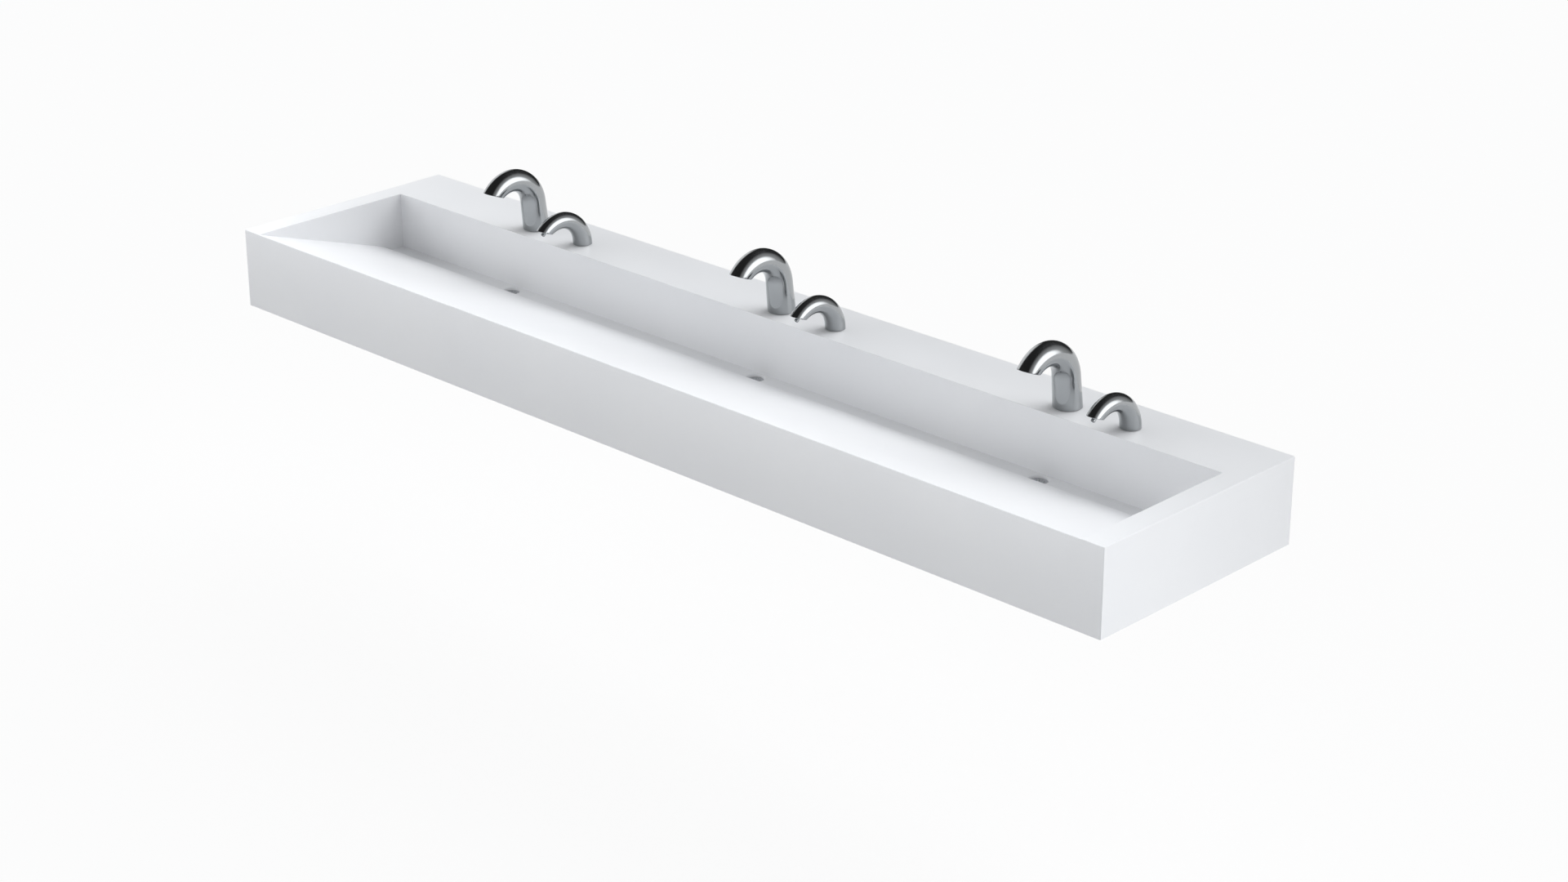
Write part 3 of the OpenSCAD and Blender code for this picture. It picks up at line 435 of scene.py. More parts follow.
def plastic_material(name, base, low_rough, high_rough, bump):
    """Moulded plastic or rubber with a fine spark-eroded grain."""
    material, tree, shader = new_material(name)
    patch = noise_node(tree, PLASTIC_PATCH_SCALE)
    dark = tuple(PLASTIC_DARK_SHARE * c for c in base)
    colour = ramp_node(tree, patch.outputs["Fac"], dark, base)
    tree.links.new(colour.outputs["Color"], shader.inputs["Base Color"])
    grain = noise_node(tree, PLASTIC_GRAIN_SCALE, detail=2)
    gloss = range_node(tree, grain.outputs["Fac"], low_rough, high_rough)
    tree.links.new(gloss.outputs["Result"], shader.inputs["Roughness"])
    bump_node(tree, shader, grain.outputs["Fac"], bump, PLASTIC_BUMP)
    return material


MATERIALS = {"solid_surface": solid_surface_material()}
MATERIALS.update({name: metal_material(name, *look) for name, look in METALS.items()})
MATERIALS.update({name: plastic_material(name, *look) for name, look in PLASTICS.items()})


def smooth_group():
    """Modifier tree that joins a node's loose triangles and smooths them up to an angle."""
    group = bpy.data.node_groups.new("smooth_by_angle", "GeometryNodeTree")
    group.interface.new_socket("Geometry", in_out="INPUT", socket_type="NodeSocketGeometry")
    group.interface.new_socket("Geometry", in_out="OUTPUT", socket_type="NodeSocketGeometry")
    entry = group.nodes.new("NodeGroupInput")
    leave = group.nodes.new("NodeGroupOutput")
    merge = group.nodes.new("GeometryNodeMergeByDistance")
    merge.inputs["Distance"].default_value = MERGE_REACH
    angle = group.nodes.new("GeometryNodeInputMeshEdgeAngle")
    sharp = group.nodes.new("FunctionNodeCompare")
    sharp.operation = "GREATER_THAN"
    sharp.inputs["B"].default_value = math.radians(SMOOTH_ANGLE)
    edges = group.nodes.new("GeometryNodeSetShadeSmooth")
    edges.domain = "EDGE"
    edges.inputs["Shade Smooth"].default_value = False
    faces = group.nodes.new("GeometryNodeSetShadeSmooth")
    faces.domain = "FACE"
    link = group.links.new
    link(entry.outputs[0], merge.inputs["Geometry"])
    link(merge.outputs["Geometry"], faces.inputs["Geometry"])
    link(faces.outputs["Geometry"], edges.inputs["Geometry"])
    link(angle.outputs["Unsigned Angle"], sharp.inputs["A"])
    link(sharp.outputs["Result"], edges.inputs["Selection"])
    link(edges.outputs["Geometry"], leave.inputs[0])
    return group


SMOOTH = smooth_group()


def dress_cad_nodes():
    """Gives every CAD node its material and smooth round faces."""
    slot_of = {part["node"]: part["material_slot"] for part in frame["record"]["subparts"]}
    for name, node in frame["nodes"].items():
        node.data.materials.clear()
        node.data.materials.append(MATERIALS[slot_of[name]])
        modifier = node.modifiers.new("smooth", "NODES")
        modifier.node_group = SMOOTH


def mesh_piece(name, part, look, body="trough"):
    """New mesh piece with a material that rides on a body."""
    points, faces = part
    mesh = bpy.data.meshes.new(name)
    mesh.from_pydata([tuple(p) for p in points], [], faces)
    mesh.validate()
    mesh.materials.append(MATERIALS[look])
    piece = bpy.data.objects.new(name, mesh)
    bpy.context.scene.collection.objects.link(piece)
    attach(piece, body)
    modifier = piece.modifiers.new("smooth", "NODES")
    modifier.node_group = SMOOTH
    return piece


def loft(rings, close_start=False, close_end=False):
    """Points and faces of a skin through rings of equally many points."""
    sides = len(rings[0])
    points = [p for ring in rings for p in ring]
    faces = []
    for start in range(0, len(points) - sides, sides):
        for i in range(sides):
            after = (i + 1) % sides
            faces.append((start + i, start + after, start + sides + after, start + sides + i))
    if close_start:
        faces.append(tuple(reversed(range(sides))))
    if close_end:
        faces.append(tuple(range((len(rings) - 1) * sides, len(rings) * sides)))
    return points, faces


def quarter(steps):
    """Angles of a quarter turn in equal steps."""
    return [math.pi / 2 * k / steps for k in range(steps + 1)]


def bend_len(spout):
    """Length of the bend along its middle line."""
    return spout["bend_r"] * math.radians(spout["turn"])


def bend_middle(spout, turned):
    """Middle of the tube after the bend has turned so many degrees, from the spout's foot."""
    lean, end = math.radians(spout["lean"]), math.radians(spout["lean"] + turned)
    y = -math.sin(lean) * spout["neck"] + spout["bend_r"] * (math.cos(end) - math.cos(lean))
    z = math.cos(lean) * spout["neck"] + spout["bend_r"] * (math.sin(end) - math.sin(lean))
    return y, z


def outlet_plane(spout, share):
    """Tilt of the ring's plane, blended in over the last share of the bend."""
    late = max(0.0, (share - 1 + CUT_BLEND_SHARE) / CUT_BLEND_SHARE)
    return (180 - OUTLET_TILT - spout["lean"] - spout["turn"]) * late ** 2


def bend_ring(spout, share, inset=0.0):
    """Ring of the bend at a share of its turn, drawn in by inset."""
    y, z = bend_middle(spout, spout["turn"] * share)
    radius = spout["neck_r"] + (spout["tip_r"] - spout["neck_r"]) * share - inset
    return ring_points(y, z, spout["lean"] + spout["turn"] * share, radius, outlet_plane(spout, share))


def ring_points(y, z, lean, radius, plane):
    """Points of one ring about the middle line, in the spout's own place."""
    tilt, slant = math.radians(lean), math.tan(math.radians(plane))
    points = []
    for k in range(SPOUT_SIDES):
        a = 2 * math.pi * k / SPOUT_SIDES
        u = radius * math.sin(a)
        points.append(Vector((
            radius * math.cos(a),
            y + u * (math.cos(tilt) - slant * math.sin(tilt)),
            z + u * (math.sin(tilt) + slant * math.cos(tilt)),
        )))
    return points


def foot_ring(spout, rise_share, inset=0.0):
    """Ring of the neck at a share of its height; the lowest lies flat on the deck."""
    lean = math.radians(spout["lean"])
    radius = spout["base_r"] + (spout["neck_r"] - spout["base_r"]) * rise_share - inset
    y = -math.sin(lean) * spout["neck"] * rise_share
    z = math.cos(lean) * spout["neck"] * rise_share
    return ring_points(y, z, spout["lean"], radius, -spout["lean"] * (1 - rise_share))


def spout_skin(spout):
    """Rings of a spout: up the inside of the foot, over the outside and into the outlet."""
    rings = [foot_ring(spout, FOOT_INSIDE_SHARE, SPOUT_WALL), foot_ring(spout, 0, SPOUT_WALL)]
    rings += [foot_ring(spout, k / NECK_RINGS) for k in range(NECK_RINGS)]
    rim_share = RIM_R / bend_len(spout)
    last_share = 1 - rim_share
    rings += [bend_ring(spout, last_share * k / BEND_RINGS) for k in range(BEND_RINGS + 1)]
    arc = quarter(RIM_RINGS)[1:]
    rings += [bend_ring(spout, last_share + rim_share * math.sin(a), RIM_R * (1 - math.cos(a))) for a in arc]
    rings += [bend_ring(spout, 1 - rim_share * (1 - math.cos(a)), RIM_R * (1 + math.sin(a))) for a in arc]
    rings += [bend_ring(spout, last_share - k * MOUTH_STEP_SHARE, SPOUT_WALL) for k in range(MOUTH_RINGS)]
    return rings


def place(rings, base):
    """Moves rings to a spout's foot."""
    return [[base + p for p in ring] for ring in rings]


def station_base(node, gasket_node, station):
    """Middle of a spout's foot, from its node and its gasket's."""
    low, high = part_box("%s_%d" % (node, station))
    gasket_low, gasket_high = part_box(gasket_node)
    return Vector(((low.x + high.x) / 2, (gasket_low.y + gasket_high.y) / 2, low.z))


def make_spouts():
    """Polished spouts in place of the faceted ones."""
    for station in STATIONS:
        for node, gasket, spout in (
            ("spout", "spout_gaskets", WATER_SPOUT),
            ("soap_spout", "soap_gaskets", SOAP_SPOUT),
        ):
            base = station_base(node, gasket, station)
            part = loft(place(spout_skin(spout), base))
            piece = mesh_piece("%s_skin_%d" % (node, station), part, "chrome")
            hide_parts("%s_%d" % (node, station))


def loose_boxes(node):
    """Lowest and highest corner of each separate solid of a CAD node, from left to right."""
    mesh = frame["nodes"][node].data
    points = np.array([v.co for v in mesh.vertices])
    index = np.unique(np.round(points, POINT_DECIMALS), axis=0, return_inverse=True)[1].ravel()
    parent = list(range(index.max() + 1))

    def root(i):
        while parent[i] != i:
            parent[i] = parent[parent[i]]
            i = parent[i]
        return i

    for edge in mesh.edges:
        parent[root(index[edge.vertices[0]])] = root(index[edge.vertices[1]])
    roots = np.array([root(i) for i in index])
    boxes = [
        (Vector(points[roots == r].min(0)), Vector(points[roots == r].max(0)))
        for r in np.unique(roots)
    ]
    return sorted(boxes, key=lambda box: (round(box[0].x, BOX_DECIMALS), round(box[0].y, BOX_DECIMALS)))


def turned(rows, sides=SIDES):
    """Rings about +Z. A row is a radius and a height, or a function that gives them for an angle."""
    rings = []
    for row in rows:
        ring = []
        for k in range(sides):
            angle = 2 * math.pi * k / sides
            r, z = row(angle) if callable(row) else row
            ring.append(Vector((r * math.cos(angle), r * math.sin(angle), z)))
        rings.append(ring)
    return rings


def round_part(rows, sides=SIDES):
    """Turned part, closed at both ends."""
    return loft(turned(rows, sides), True, True)


def moved(part, matrix):
    """Points and faces put in another place."""
    points, faces = part
    return [matrix @ Vector(p) for p in points], faces


def joined(parts):
    """Several points and faces as one."""
    points, faces = [], []
    for part_points, part_faces in parts:
        shift = len(points)
        points += part_points
        faces += [tuple(i + shift for i in face) for face in part_faces]
    return points, faces


def at(x, y, z):
    return Matrix.Translation((x, y, z))


def turn(degrees, axis):
    return Matrix.Rotation(math.radians(degrees), 4, axis)


def hex_r(angle, corner_r):
    """Radius of a hexagon with a corner at angle 0."""
    return corner_r * math.cos(HEX_HALF) / math.cos(angle % (2 * HEX_HALF) - HEX_HALF)


def hex_rows(corner_r, from_z, to_z):
    """Hexagon between two heights, its corners chamfered at the second one."""
    flat_r = corner_r * math.cos(HEX_HALF) * HEX_CHAMFER_SHARE
    side = 1 if from_z > to_z else -1

    def chamfer(angle):
        r = hex_r(angle, corner_r)
        return r, to_z + side * max(0, r - flat_r) * math.tan(HEX_HALF)

    return [
        lambda angle: (hex_r(angle, corner_r), from_z),
        chamfer,
        lambda angle: (min(hex_r(angle, corner_r), flat_r), to_z),
    ]


def disc_rows(r, from_z, to_z, ease=EASE):
    """Round disc between two heights with eased rims."""
    side = 1 if to_z > from_z else -1
    return [(r - ease, from_z), (r, from_z + side * ease), (r, to_z - side * ease), (r - ease, to_z)]


def thread_rows(r, low, high, pitch):
    """Helical thread between two heights, run out at its low end."""
    count = max(2, round((high - low) / pitch * ROWS_PER_TURN))
    rows = []
    for k in range(count + 1):
        z = low + (high - low) * k / count

        def row(angle, z=z):
            phase = (z / pitch - angle / (2 * math.pi)) % 1
            lead_in = max(0.0, THREAD_DEPTH - (z - low))
            return r - max(THREAD_DEPTH * abs(2 * phase - 1), lead_in), z

        rows.append(row)
    return rows


def rounded_rect(half_u, half_v, corner, inset, steps=6):
    """Points round a rectangle with round corners, drawn in by inset."""
    r = max(corner - inset, LEAST_CORNER_R)
    points = []
    for k, (su, sv) in enumerate(((1, 1), (-1, 1), (-1, -1), (1, -1))):
        middle_u, middle_v = su * (half_u - inset - r), sv * (half_v - inset - r)
        for step in range(steps + 1):
            a = math.pi / 2 * (k + step / steps)
            points.append((middle_u + r * math.cos(a), middle_v + r * math.sin(a)))
    return points


def rect_rings(half_u, half_v, corner, rows):
    """Rings of a rounded rectangle at rows of inset and height."""
    return [
        [Vector((u, v, w)) for u, v in rounded_rect(half_u, half_v, corner, inset)]
        for inset, w in rows
    ]


def stack(half_u, half_v, corner, rows):
    """Block of rounded rectangles, closed at both ends."""
    return loft(rect_rings(half_u, half_v, corner, rows), True, True)


def eased_rows(height, ease, steps=3):
    """Rows of a block with eased lower and upper edges."""
    arc = quarter(steps)
    low = [(ease * (1 - math.sin(a)), ease * (1 - math.cos(a))) for a in arc]
    high = [(ease * (1 - math.cos(a)), height - ease * (1 - math.sin(a))) for a in arc]
    return low + high


def insert_frame(spout, base, depth):
    """Middle of the outlet's plane at a depth inside it, with the plane's directions."""
    share = 1 - depth / bend_len(spout)
    ring = bend_ring(spout, share)
    middle = sum(ring, Vector()) / len(ring)
    along = (ring[SPOUT_SIDES // 4] - middle).normalized()
    across = Vector((1, 0, 0))
    out = across.cross(along)
    y, z = bend_middle(spout, spout["turn"] * share)
    before_y, before_z = bend_middle(spout, spout["turn"] * (share - LOOK_BACK_SHARE))
    if out.dot(Vector((0, y - before_y, z - before_z))) < 0:
        out = -out
    rotation = Matrix((across, along, out)).transposed().to_4x4()
    return Matrix.Translation(base + middle) @ rotation, share


def make_outlets():
    """Black inserts in the water spouts: a dished face with spray nubs and a sensor window."""
    dishes, nubs, windows = [], [], []
    clear = SPOUT_WALL + INSERT_CLEAR
    floor = -DISH_EDGE_SHARE * bend_len(WATER_SPOUT)
    nub_rows = [(NUB_R * r_share, floor + NUB_H * h_share) for r_share, h_share in NUB_SHARES]
    window_rows = [
        (SENSOR_R, floor),
        (SENSOR_R, floor + SENSOR_EDGE_H),
        (SENSOR_R - EASE, floor + SENSOR_H),
        (SENSOR_R - 2 * EASE, floor + SENSOR_H - SENSOR_DISH),
    ]
    circle = [2 * math.pi * k / NUB_COUNT for k in range(NUB_COUNT)]
    spots = [(0, 0)] + [(NUB_CIRCLE_R * math.cos(a), NUB_CIRCLE_R * math.sin(a)) for a in circle]
    for station in STATIONS:
        base = station_base("spout", "spout_gaskets", station)
        spot, share = insert_frame(WATER_SPOUT, base, INSERT_DEPTH)
        rings = [
            bend_ring(WATER_SPOUT, share - DISH_LEN_SHARE, clear),
            bend_ring(WATER_SPOUT, share - DISH_EDGE_SHARE, clear),
            bend_ring(WATER_SPOUT, share, clear + EASE),
            bend_ring(WATER_SPOUT, share, clear + DISH_RIM),
            bend_ring(WATER_SPOUT, share - DISH_EDGE_SHARE, clear + DISH_RIM + DISH_SLOPE),
            bend_ring(WATER_SPOUT, share - DISH_EDGE_SHARE, clear + DISH_MIDDLE),
        ]
        dishes.append(loft(place(rings, base), True, True))
        for u, v in spots:
            nub = loft(turned(nub_rows, NUB_SIDES), False, True)
            nubs.append(moved(nub, spot @ at(u, v - SPRAY_BACK, 0)))
        window = loft(turned(window_rows, SENSOR_SIDES), False, True)
        windows.append(moved(window, spot @ at(0, SENSOR_AHEAD, 0)))
    piece = mesh_piece("spout_outlet_dishes", joined(dishes), "black_plastic")
    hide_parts("spout_outlets")
    mesh_piece("spray_nubs", joined(nubs), "rubber")
    mesh_piece("sensor_windows", joined(windows), "sensor_glass")


def make_soap_nozzles():
    """Chrome plugs with round-tipped nozzles in the soap spouts."""
    clear = SPOUT_WALL + INSERT_CLEAR
    share = 1 - PLUG_DEPTH / bend_len(SOAP_SPOUT)
    rows = [(NOZZLE_R, -NOZZLE_IN_SHARE * NOZZLE_OUT), (NOZZLE_R, NOZZLE_OUT - TIP_R)]
    rows += [
        (NOZZLE_R - TIP_R * (1 - math.cos(a)), NOZZLE_OUT - TIP_R * (1 - math.sin(a)))
        for a in quarter(TIP_STEPS)[1:]
    ]
    rows += [(NOZZLE_BORE_R + EASE, NOZZLE_OUT), (NOZZLE_BORE_R, NOZZLE_OUT - EASE), (NOZZLE_BORE_R, 0)]
    y, z = bend_middle(SOAP_SPOUT, SOAP_SPOUT["turn"])
    for station in STATIONS:
        base = station_base("soap_spout", "soap_gaskets", station)
        rings = [
            bend_ring(SOAP_SPOUT, share - PLUG_LEN_SHARE, clear),
            bend_ring(SOAP_SPOUT, share - PLUG_EDGE_SHARE, clear),
            bend_ring(SOAP_SPOUT, share, clear + EASE),
            bend_ring(SOAP_SPOUT, share, clear + PLUG_MIDDLE),
        ]
        plug = loft(place(rings, base), True, True)
        spot = at(base.x, base.y + y, base.z + z) @ turn(SOAP_SPOUT["lean"] + SOAP_SPOUT["turn"], "X")
        nozzle = moved(round_part(rows, NOZZLE_SIDES), spot)
        piece = mesh_piece("soap_nozzle_skin_%d" % station, joined([plug, nozzle]), "chrome")
        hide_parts("soap_nozzle_%d" % station)


def make_shanks():
    """Threaded shanks with their collars and bores."""
    for node, (r, bore_r) in SHANKS.items():
        parts = []
        for low, high in loose_boxes(node):
            collar_r = (high.x - low.x) / 2
            deck_top = high.z - COLLAR_T
            rows = [(bore_r, deck_top - BORE_STOP), (bore_r, low.z + EASE), (bore_r + EASE, low.z)]
            rows += thread_rows(r, low.z, deck_top - SHEET_T, SHANK_PITCH)
            rows += [(r, deck_top - SHEET_T), (r, deck_top), (collar_r, deck_top), (collar_r, high.z)]
            spot = at((low.x + high.x) / 2, (low.y + high.y) / 2, 0)
            parts.append(moved(round_part(rows), spot))
        piece = mesh_piece(node + "_threaded", joined(parts), "brass")
        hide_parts(node)


def make_nuts():
    """Flanged nuts under the deck and under the gutter."""
    for node, corner_r in NUT_CORNERS.items():
        bore_r, parts = NUT_BORES[node], []
        for low, high in loose_boxes(node):
            height = high.z - low.z
            whole_r = min(high.y - low.y, high.x - low.x) / 2
            flange_r = whole_r if node == "spout_nuts" else corner_r * NUT_FLANGE_SHARE
            rows = [(bore_r, 0), *disc_rows(flange_r, 0, -NUT_FLANGE_T)]
            rows += hex_rows(corner_r, -NUT_FLANGE_T, -height)
            rows += [(bore_r + 2 * EASE, -height), (bore_r, -height + 2 * EASE), (bore_r, 0)]
            spot = at((low.x + high.x) / 2, (low.y + high.y) / 2, high.z)
            parts.append(moved(loft(turned(rows)), spot))
        piece = mesh_piece(node + "_turned", joined(parts), "brass")
        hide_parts(node)


def screw_part(r, head_r, head_t, length):
    """Screw along +Z whose domed head with a hexagon socket faces down at z = 0."""
    key_r, rim_t = KEY_SHARE * head_r, HEAD_RIM_SHARE * head_t
    rows = [(r, length), (r, head_t), (head_r, head_t), (head_r, rim_t)]
    rows += [
        (head_r * (1 - HEAD_DOME_SHARE * (k / DOME_STEPS) ** 2), rim_t * (1 - k / DOME_STEPS))
        for k in range(1, DOME_STEPS + 1)
    ]
    rows += [
        (key_r * KEY_MOUTH_SHARE, 0),
        lambda angle: (hex_r(angle, key_r), KEY_EDGE_SHARE * head_t),
        lambda angle: (hex_r(angle, key_r), KEY_DEPTH_SHARE * head_t),
    ]
    return round_part(rows, SCREW_SIDES)


def make_screws():
    """Screws of the brackets, which face down, and of the control boxes, which face forwards."""
    for node, (r, head_t) in SCREWS.items():
        parts = []
        for low, high in loose_boxes(node):
            x, y, z = (low + high) / 2
            head_r = (high.x - low.x) / 2
            if node == "bracket_screws":
                spot, length = at(x, y, low.z), high.z - low.z
            else:
                spot, length = at(x, low.y, z) @ turn(-90, "X"), high.y - low.y
            parts.append(moved(screw_part(r, head_r, head_t, length), spot))
        piece = mesh_piece(node + "_turned", joined(parts), "galvanised_steel")
        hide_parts(node)


def make_valves():
    """Brass valve blocks with their bosses, threads and compression nuts."""
    thread_top = INLET_LEN - INLET_NECK
    inlet_rows = [(INLET_BORE_R, INLET_LEN), (INLET_BORE_R, EASE), (INLET_BORE_R + EASE, 0)]
    inlet_rows += thread_rows(INLET_R, 0, thread_top, INLET_PITCH)
    inlet_rows += disc_rows(INLET_R - THREAD_DEPTH, thread_top, INLET_LEN)
    nut_rows = [(NIPPLE_R * NIPPLE_BACK_SHARE, -NIPPLE_SINK), *hex_rows(NIPPLE_R, 0, NIPPLE_LEN - EASE)]
    nut_rows += [(TUBE_R + TUBE_FLARE, NIPPLE_LEN), (TUBE_R + TUBE_FIT, NIPPLE_LEN - EASE)]
    boss_rows = disc_rows(KNOB_HUB_R + BOSS_RIM, 0, -BOSS_H, BOSS_EASE)
    for station in STATIONS:
        low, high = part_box("water_valve_%d" % station)
        under = low.z + INLET_LEN
        height, depth = high.z - under, high.y - low.y
        mid_y = (low.y + high.y) / 2
        right = high.x - NIPPLE_LEN
        block = stack(VALVE_LEN / 2, depth / 2, VALVE_CORNER_R, eased_rows(height, VALVE_EASE))
        nut_spot = at(right, mid_y - TUBE_SHIFT, under + OUTLET_RISE) @ turn(90, "Y")
        parts = [
            moved(block, at(right - VALVE_LEN / 2, mid_y, under)),
            moved(round_part(inlet_rows), at(right - INLET_SHIFT, mid_y, low.z)),
            moved(round_part(nut_rows), nut_spot),
            moved(round_part(boss_rows), at(right - KNOB_SHIFT, mid_y, under)),
        ]
        piece = mesh_piece("water_valve_block_%d" % station, joined(parts), "brass")
        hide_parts("water_valve_%d" % station)


def make_coils():
    """Moulded coils with a steel cap nut on the core."""
    coils, nuts = [], []
    for low, high in loose_boxes("solenoid_coils"):
        r, cap = (high.z - low.z) / 2, high.x - low.x
        groove_r, bore_r = r - COIL_GROOVE_DEPTH, r * CAP_BORE_SHARE
        spot = at(high.x, (low.y + high.y) / 2, (low.z + high.z) / 2) @ turn(-90, "Y")
        rows = [(COIL_CORE_SHARE * r, 0), (r - EASE, 0), (r, EASE)]
        for share in COIL_GROOVE_SHARES:
            z = COIL_LEN * share
            rows += [(r, z - COIL_GROOVE_HALF), (groove_r, z - COIL_FLOOR_HALF)]
            rows += [(groove_r, z + COIL_FLOOR_HALF), (r, z + COIL_GROOVE_HALF)]
        rows += [(r, COIL_LEN - COIL_CHAMFER), (r - COIL_CHAMFER, COIL_LEN)]
        coils.append(moved(round_part(rows), spot))
        nut_rows = [(bore_r, COIL_LEN - EASE), *hex_rows(r * CAP_SHARE, COIL_LEN, cap - EASE), (bore_r, cap)]
        nuts.append(moved(round_part(nut_rows), spot))
    piece = mesh_piece("solenoid_coils_moulded", joined(coils), "black_plastic")
    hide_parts("solenoid_coils")
    mesh_piece("coil_cap_nuts", joined(nuts), "galvanised_steel")


def make_knobs():
    """Stop knobs with a round hub and a rounded wing."""
    wing_rows = eased_rows(KNOB_WING_H, KNOB_WING_EASE, KNOB_STEPS)
    for station in STATIONS:
        body = "stop_knob_%d" % station
        low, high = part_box(body)
        hub_top = KNOB_WING_H + KNOB_HUB_H
        rows = [(KNOB_STEM_R, high.z - low.z), (KNOB_STEM_R, hub_top)]
        rows += disc_rows(KNOB_HUB_R, hub_top, KNOB_WING_H, KNOB_HUB_EASE)
        spot = at((low.x + high.x) / 2, (low.y + high.y) / 2, low.z)
        half_w, reach = KNOB_WING_W / 2, (high.y - low.y) / 2
        hub = moved(round_part(rows), spot)
        wing = moved(stack(half_w, reach, half_w * KNOB_ROUND_SHARE, wing_rows), spot)
        piece = mesh_piece("stop_knob_wing_%d" % station, joined([hub, wing]), "knob_plastic", body)
        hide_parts(body)


def gland_part():
    """Lead's gland along +Z: a hexagon and a ribbed sleeve."""
    rows = [(GLAND_R * GLAND_BACK_SHARE, -EASE), *hex_rows(GLAND_R, 0, GLAND_LEN * GLAND_NUT_SHARE)]
    for r_share, z_share in GLAND_RIB_SHARES:
        r, z = GLAND_R * r_share, GLAND_LEN * z_share
        rows += [(r, z), (r, z + GLAND_LEN * GLAND_RIB_W_SHARE)]
        rows.append((r - GLAND_RIB_DEPTH, z + GLAND_LEN * GLAND_STEP_SHARE))
    rows.append((GLAND_R * GLAND_MOUTH_SHARE, GLAND_LEN))
    return round_part(rows)


def case_rows(deep):
    """Rows of a control box's case from its lip to its back."""
    groove = deep * GROOVE_SHARE
    return [
        (CASE_LIP, 0),
        (CASE_LIP, CASE_LIP_H),
        (0, CASE_LIP_H),
        (0, groove),
        (GROOVE_DEPTH, groove + GROOVE_SLOPE),
        (GROOVE_DEPTH, groove + GROOVE_W - GROOVE_SLOPE),
        (0, groove + GROOVE_W),
        (0, deep - CASE_CHAMFER),
        (CASE_CHAMFER, deep),
    ]


def lid_rows(thick):
    """Rows of a control box's lid from its seat to its dished face."""
    return [
        (0, 0),
        (0, thick - LID_ROUND),
        (LID_BEVEL, thick - LID_BEVEL),
        (LID_ROUND, thick),
        (LID_RIM_W, thick),
        (LID_RIM_W + LID_DISH, thick - LID_DISH),
        (LID_MIDDLE, thick - LID_DISH),
    ]


def make_control_boxes():
    """Cases with a parting groove, screw lugs and a ribbed gland, and lids with a raised rim."""
    gland_y = sum(corner.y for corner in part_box("sensor_leads")) / 2
    lids = []
    for station, (lid_low, lid_high) in zip(STATIONS, loose_boxes("control_lids")):
        low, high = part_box("control_box_%d" % station)
        front, back = lid_high.y, high.y
        half_x, half_z = (lid_high.x - lid_low.x) / 2, (high.z - low.z) / 2
        x, z = (lid_low.x + lid_high.x) / 2, (low.z + high.z) / 2
        case = stack(half_x, half_z, BOX_CORNER_R, case_rows(back - front))
        parts = [moved(case, at(x, front, z) @ turn(-90, "X"))]
        lug_z = high.z - LUG_H / 2 - BOX_CORNER_R
        for side in (-1, 1):
            lug = stack(LUG_W / 2 + EASE, LUG_H / 2, LUG_CORNER_R, eased_rows(LUG_T, LUG_EASE))
            lug_x = x + side * (half_x + LUG_W / 2 - EASE)
            parts.append(moved(lug, at(lug_x, back, lug_z) @ turn(90, "X")))
        parts.append(moved(gland_part(), at(lid_high.x, gland_y, high.z - LEAD_DROP) @ turn(90, "Y")))
        piece = mesh_piece("control_case_%d" % station, joined(parts), "grey_case")
        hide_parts("control_box_%d" % station)
        lid = stack(half_x, half_z, BOX_CORNER_R, lid_rows(lid_high.y - lid_low.y))
        lids.append(moved(lid, at(x, front, z) @ turn(90, "X")))
    piece = mesh_piece("control_lids_moulded", joined(lids), "black_plastic")
    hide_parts("control_lids")


def pump_rows():
    """Rows of a pump's housing with its parting line and eased top."""
    seam = PUMP_H * SEAM_SHARE
    rows = [
        (PUMP_CHAMFER, 0),
        (0, PUMP_CHAMFER),
        (0, seam),
        (SEAM_DEPTH, seam + SEAM_SLOPE),
        (SEAM_DEPTH, seam + SEAM_W - SEAM_SLOPE),
        (0, seam + SEAM_W),
    ]
    arc = quarter(PUMP_STEPS)
    return rows + [(PUMP_EASE * (1 - math.cos(a)), PUMP_H - PUMP_EASE * (1 - math.sin(a))) for a in arc]


def dome_part(height):
    """Motor dome of a height."""
    wall, bulge = height * MOTOR_WALL_SHARE, height * (1 - MOTOR_WALL_SHARE)
    rows = [(MOTOR_R, -MOTOR_SINK), (MOTOR_R, wall)]
    rows += [
        (MOTOR_R - bulge * (1 - math.cos(a)), wall + bulge * math.sin(a))
        for a in quarter(PUMP_STEPS)[1:]
    ]
    return round_part(rows)


def make_pumps():
    """Pump housings with a parting line, a motor dome and the bottle's socket."""
    socket_r = NECK_R + RUN_CLEAR
    for station in STATIONS:
        low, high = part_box("soap_pump_%d" % station)
        half_x, half_y = (high.x - low.x) / 2, (high.y - low.y) / 2
        x, y = (low.x + high.x) / 2, (low.y + high.y) / 2
        shift = sum(corner.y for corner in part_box("soap_bottle_%d" % station)) / 2 - y
        outside = rect_rings(half_x, half_y, PUMP_CORNER_R, pump_rows())
        start = [math.atan2(p.y - shift, p.x) for p in outside[0]]
        socket = [
            [Vector((socket_r * math.cos(a), shift + socket_r * math.sin(a), w)) for a in start]
            for w in (SOCKET_DEPTH, 0)
        ]
        top = low.z + PUMP_H
        housing = moved(loft(socket + outside, True, True), at(x, y, low.z))
        dome = moved(dome_part(high.z - top), at(x, high.y - PUMP_CORNER_R - MOTOR_R, top))
        piece = mesh_piece("soap_pump_housing_%d" % station, joined([housing, dome]), "grey_case")
        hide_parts("soap_pump_%d" % station)


def bayonet_row(z):
    """Row of the bottle's neck with its two bayonet lugs."""
    def row(angle):
        off = abs((angle + math.pi / 2) % math.pi - math.pi / 2)
        out = BAYONET_REACH if off <= math.radians(BAYONET_HALF_ANGLE) else 0
        return NECK_R + out, z
    return row


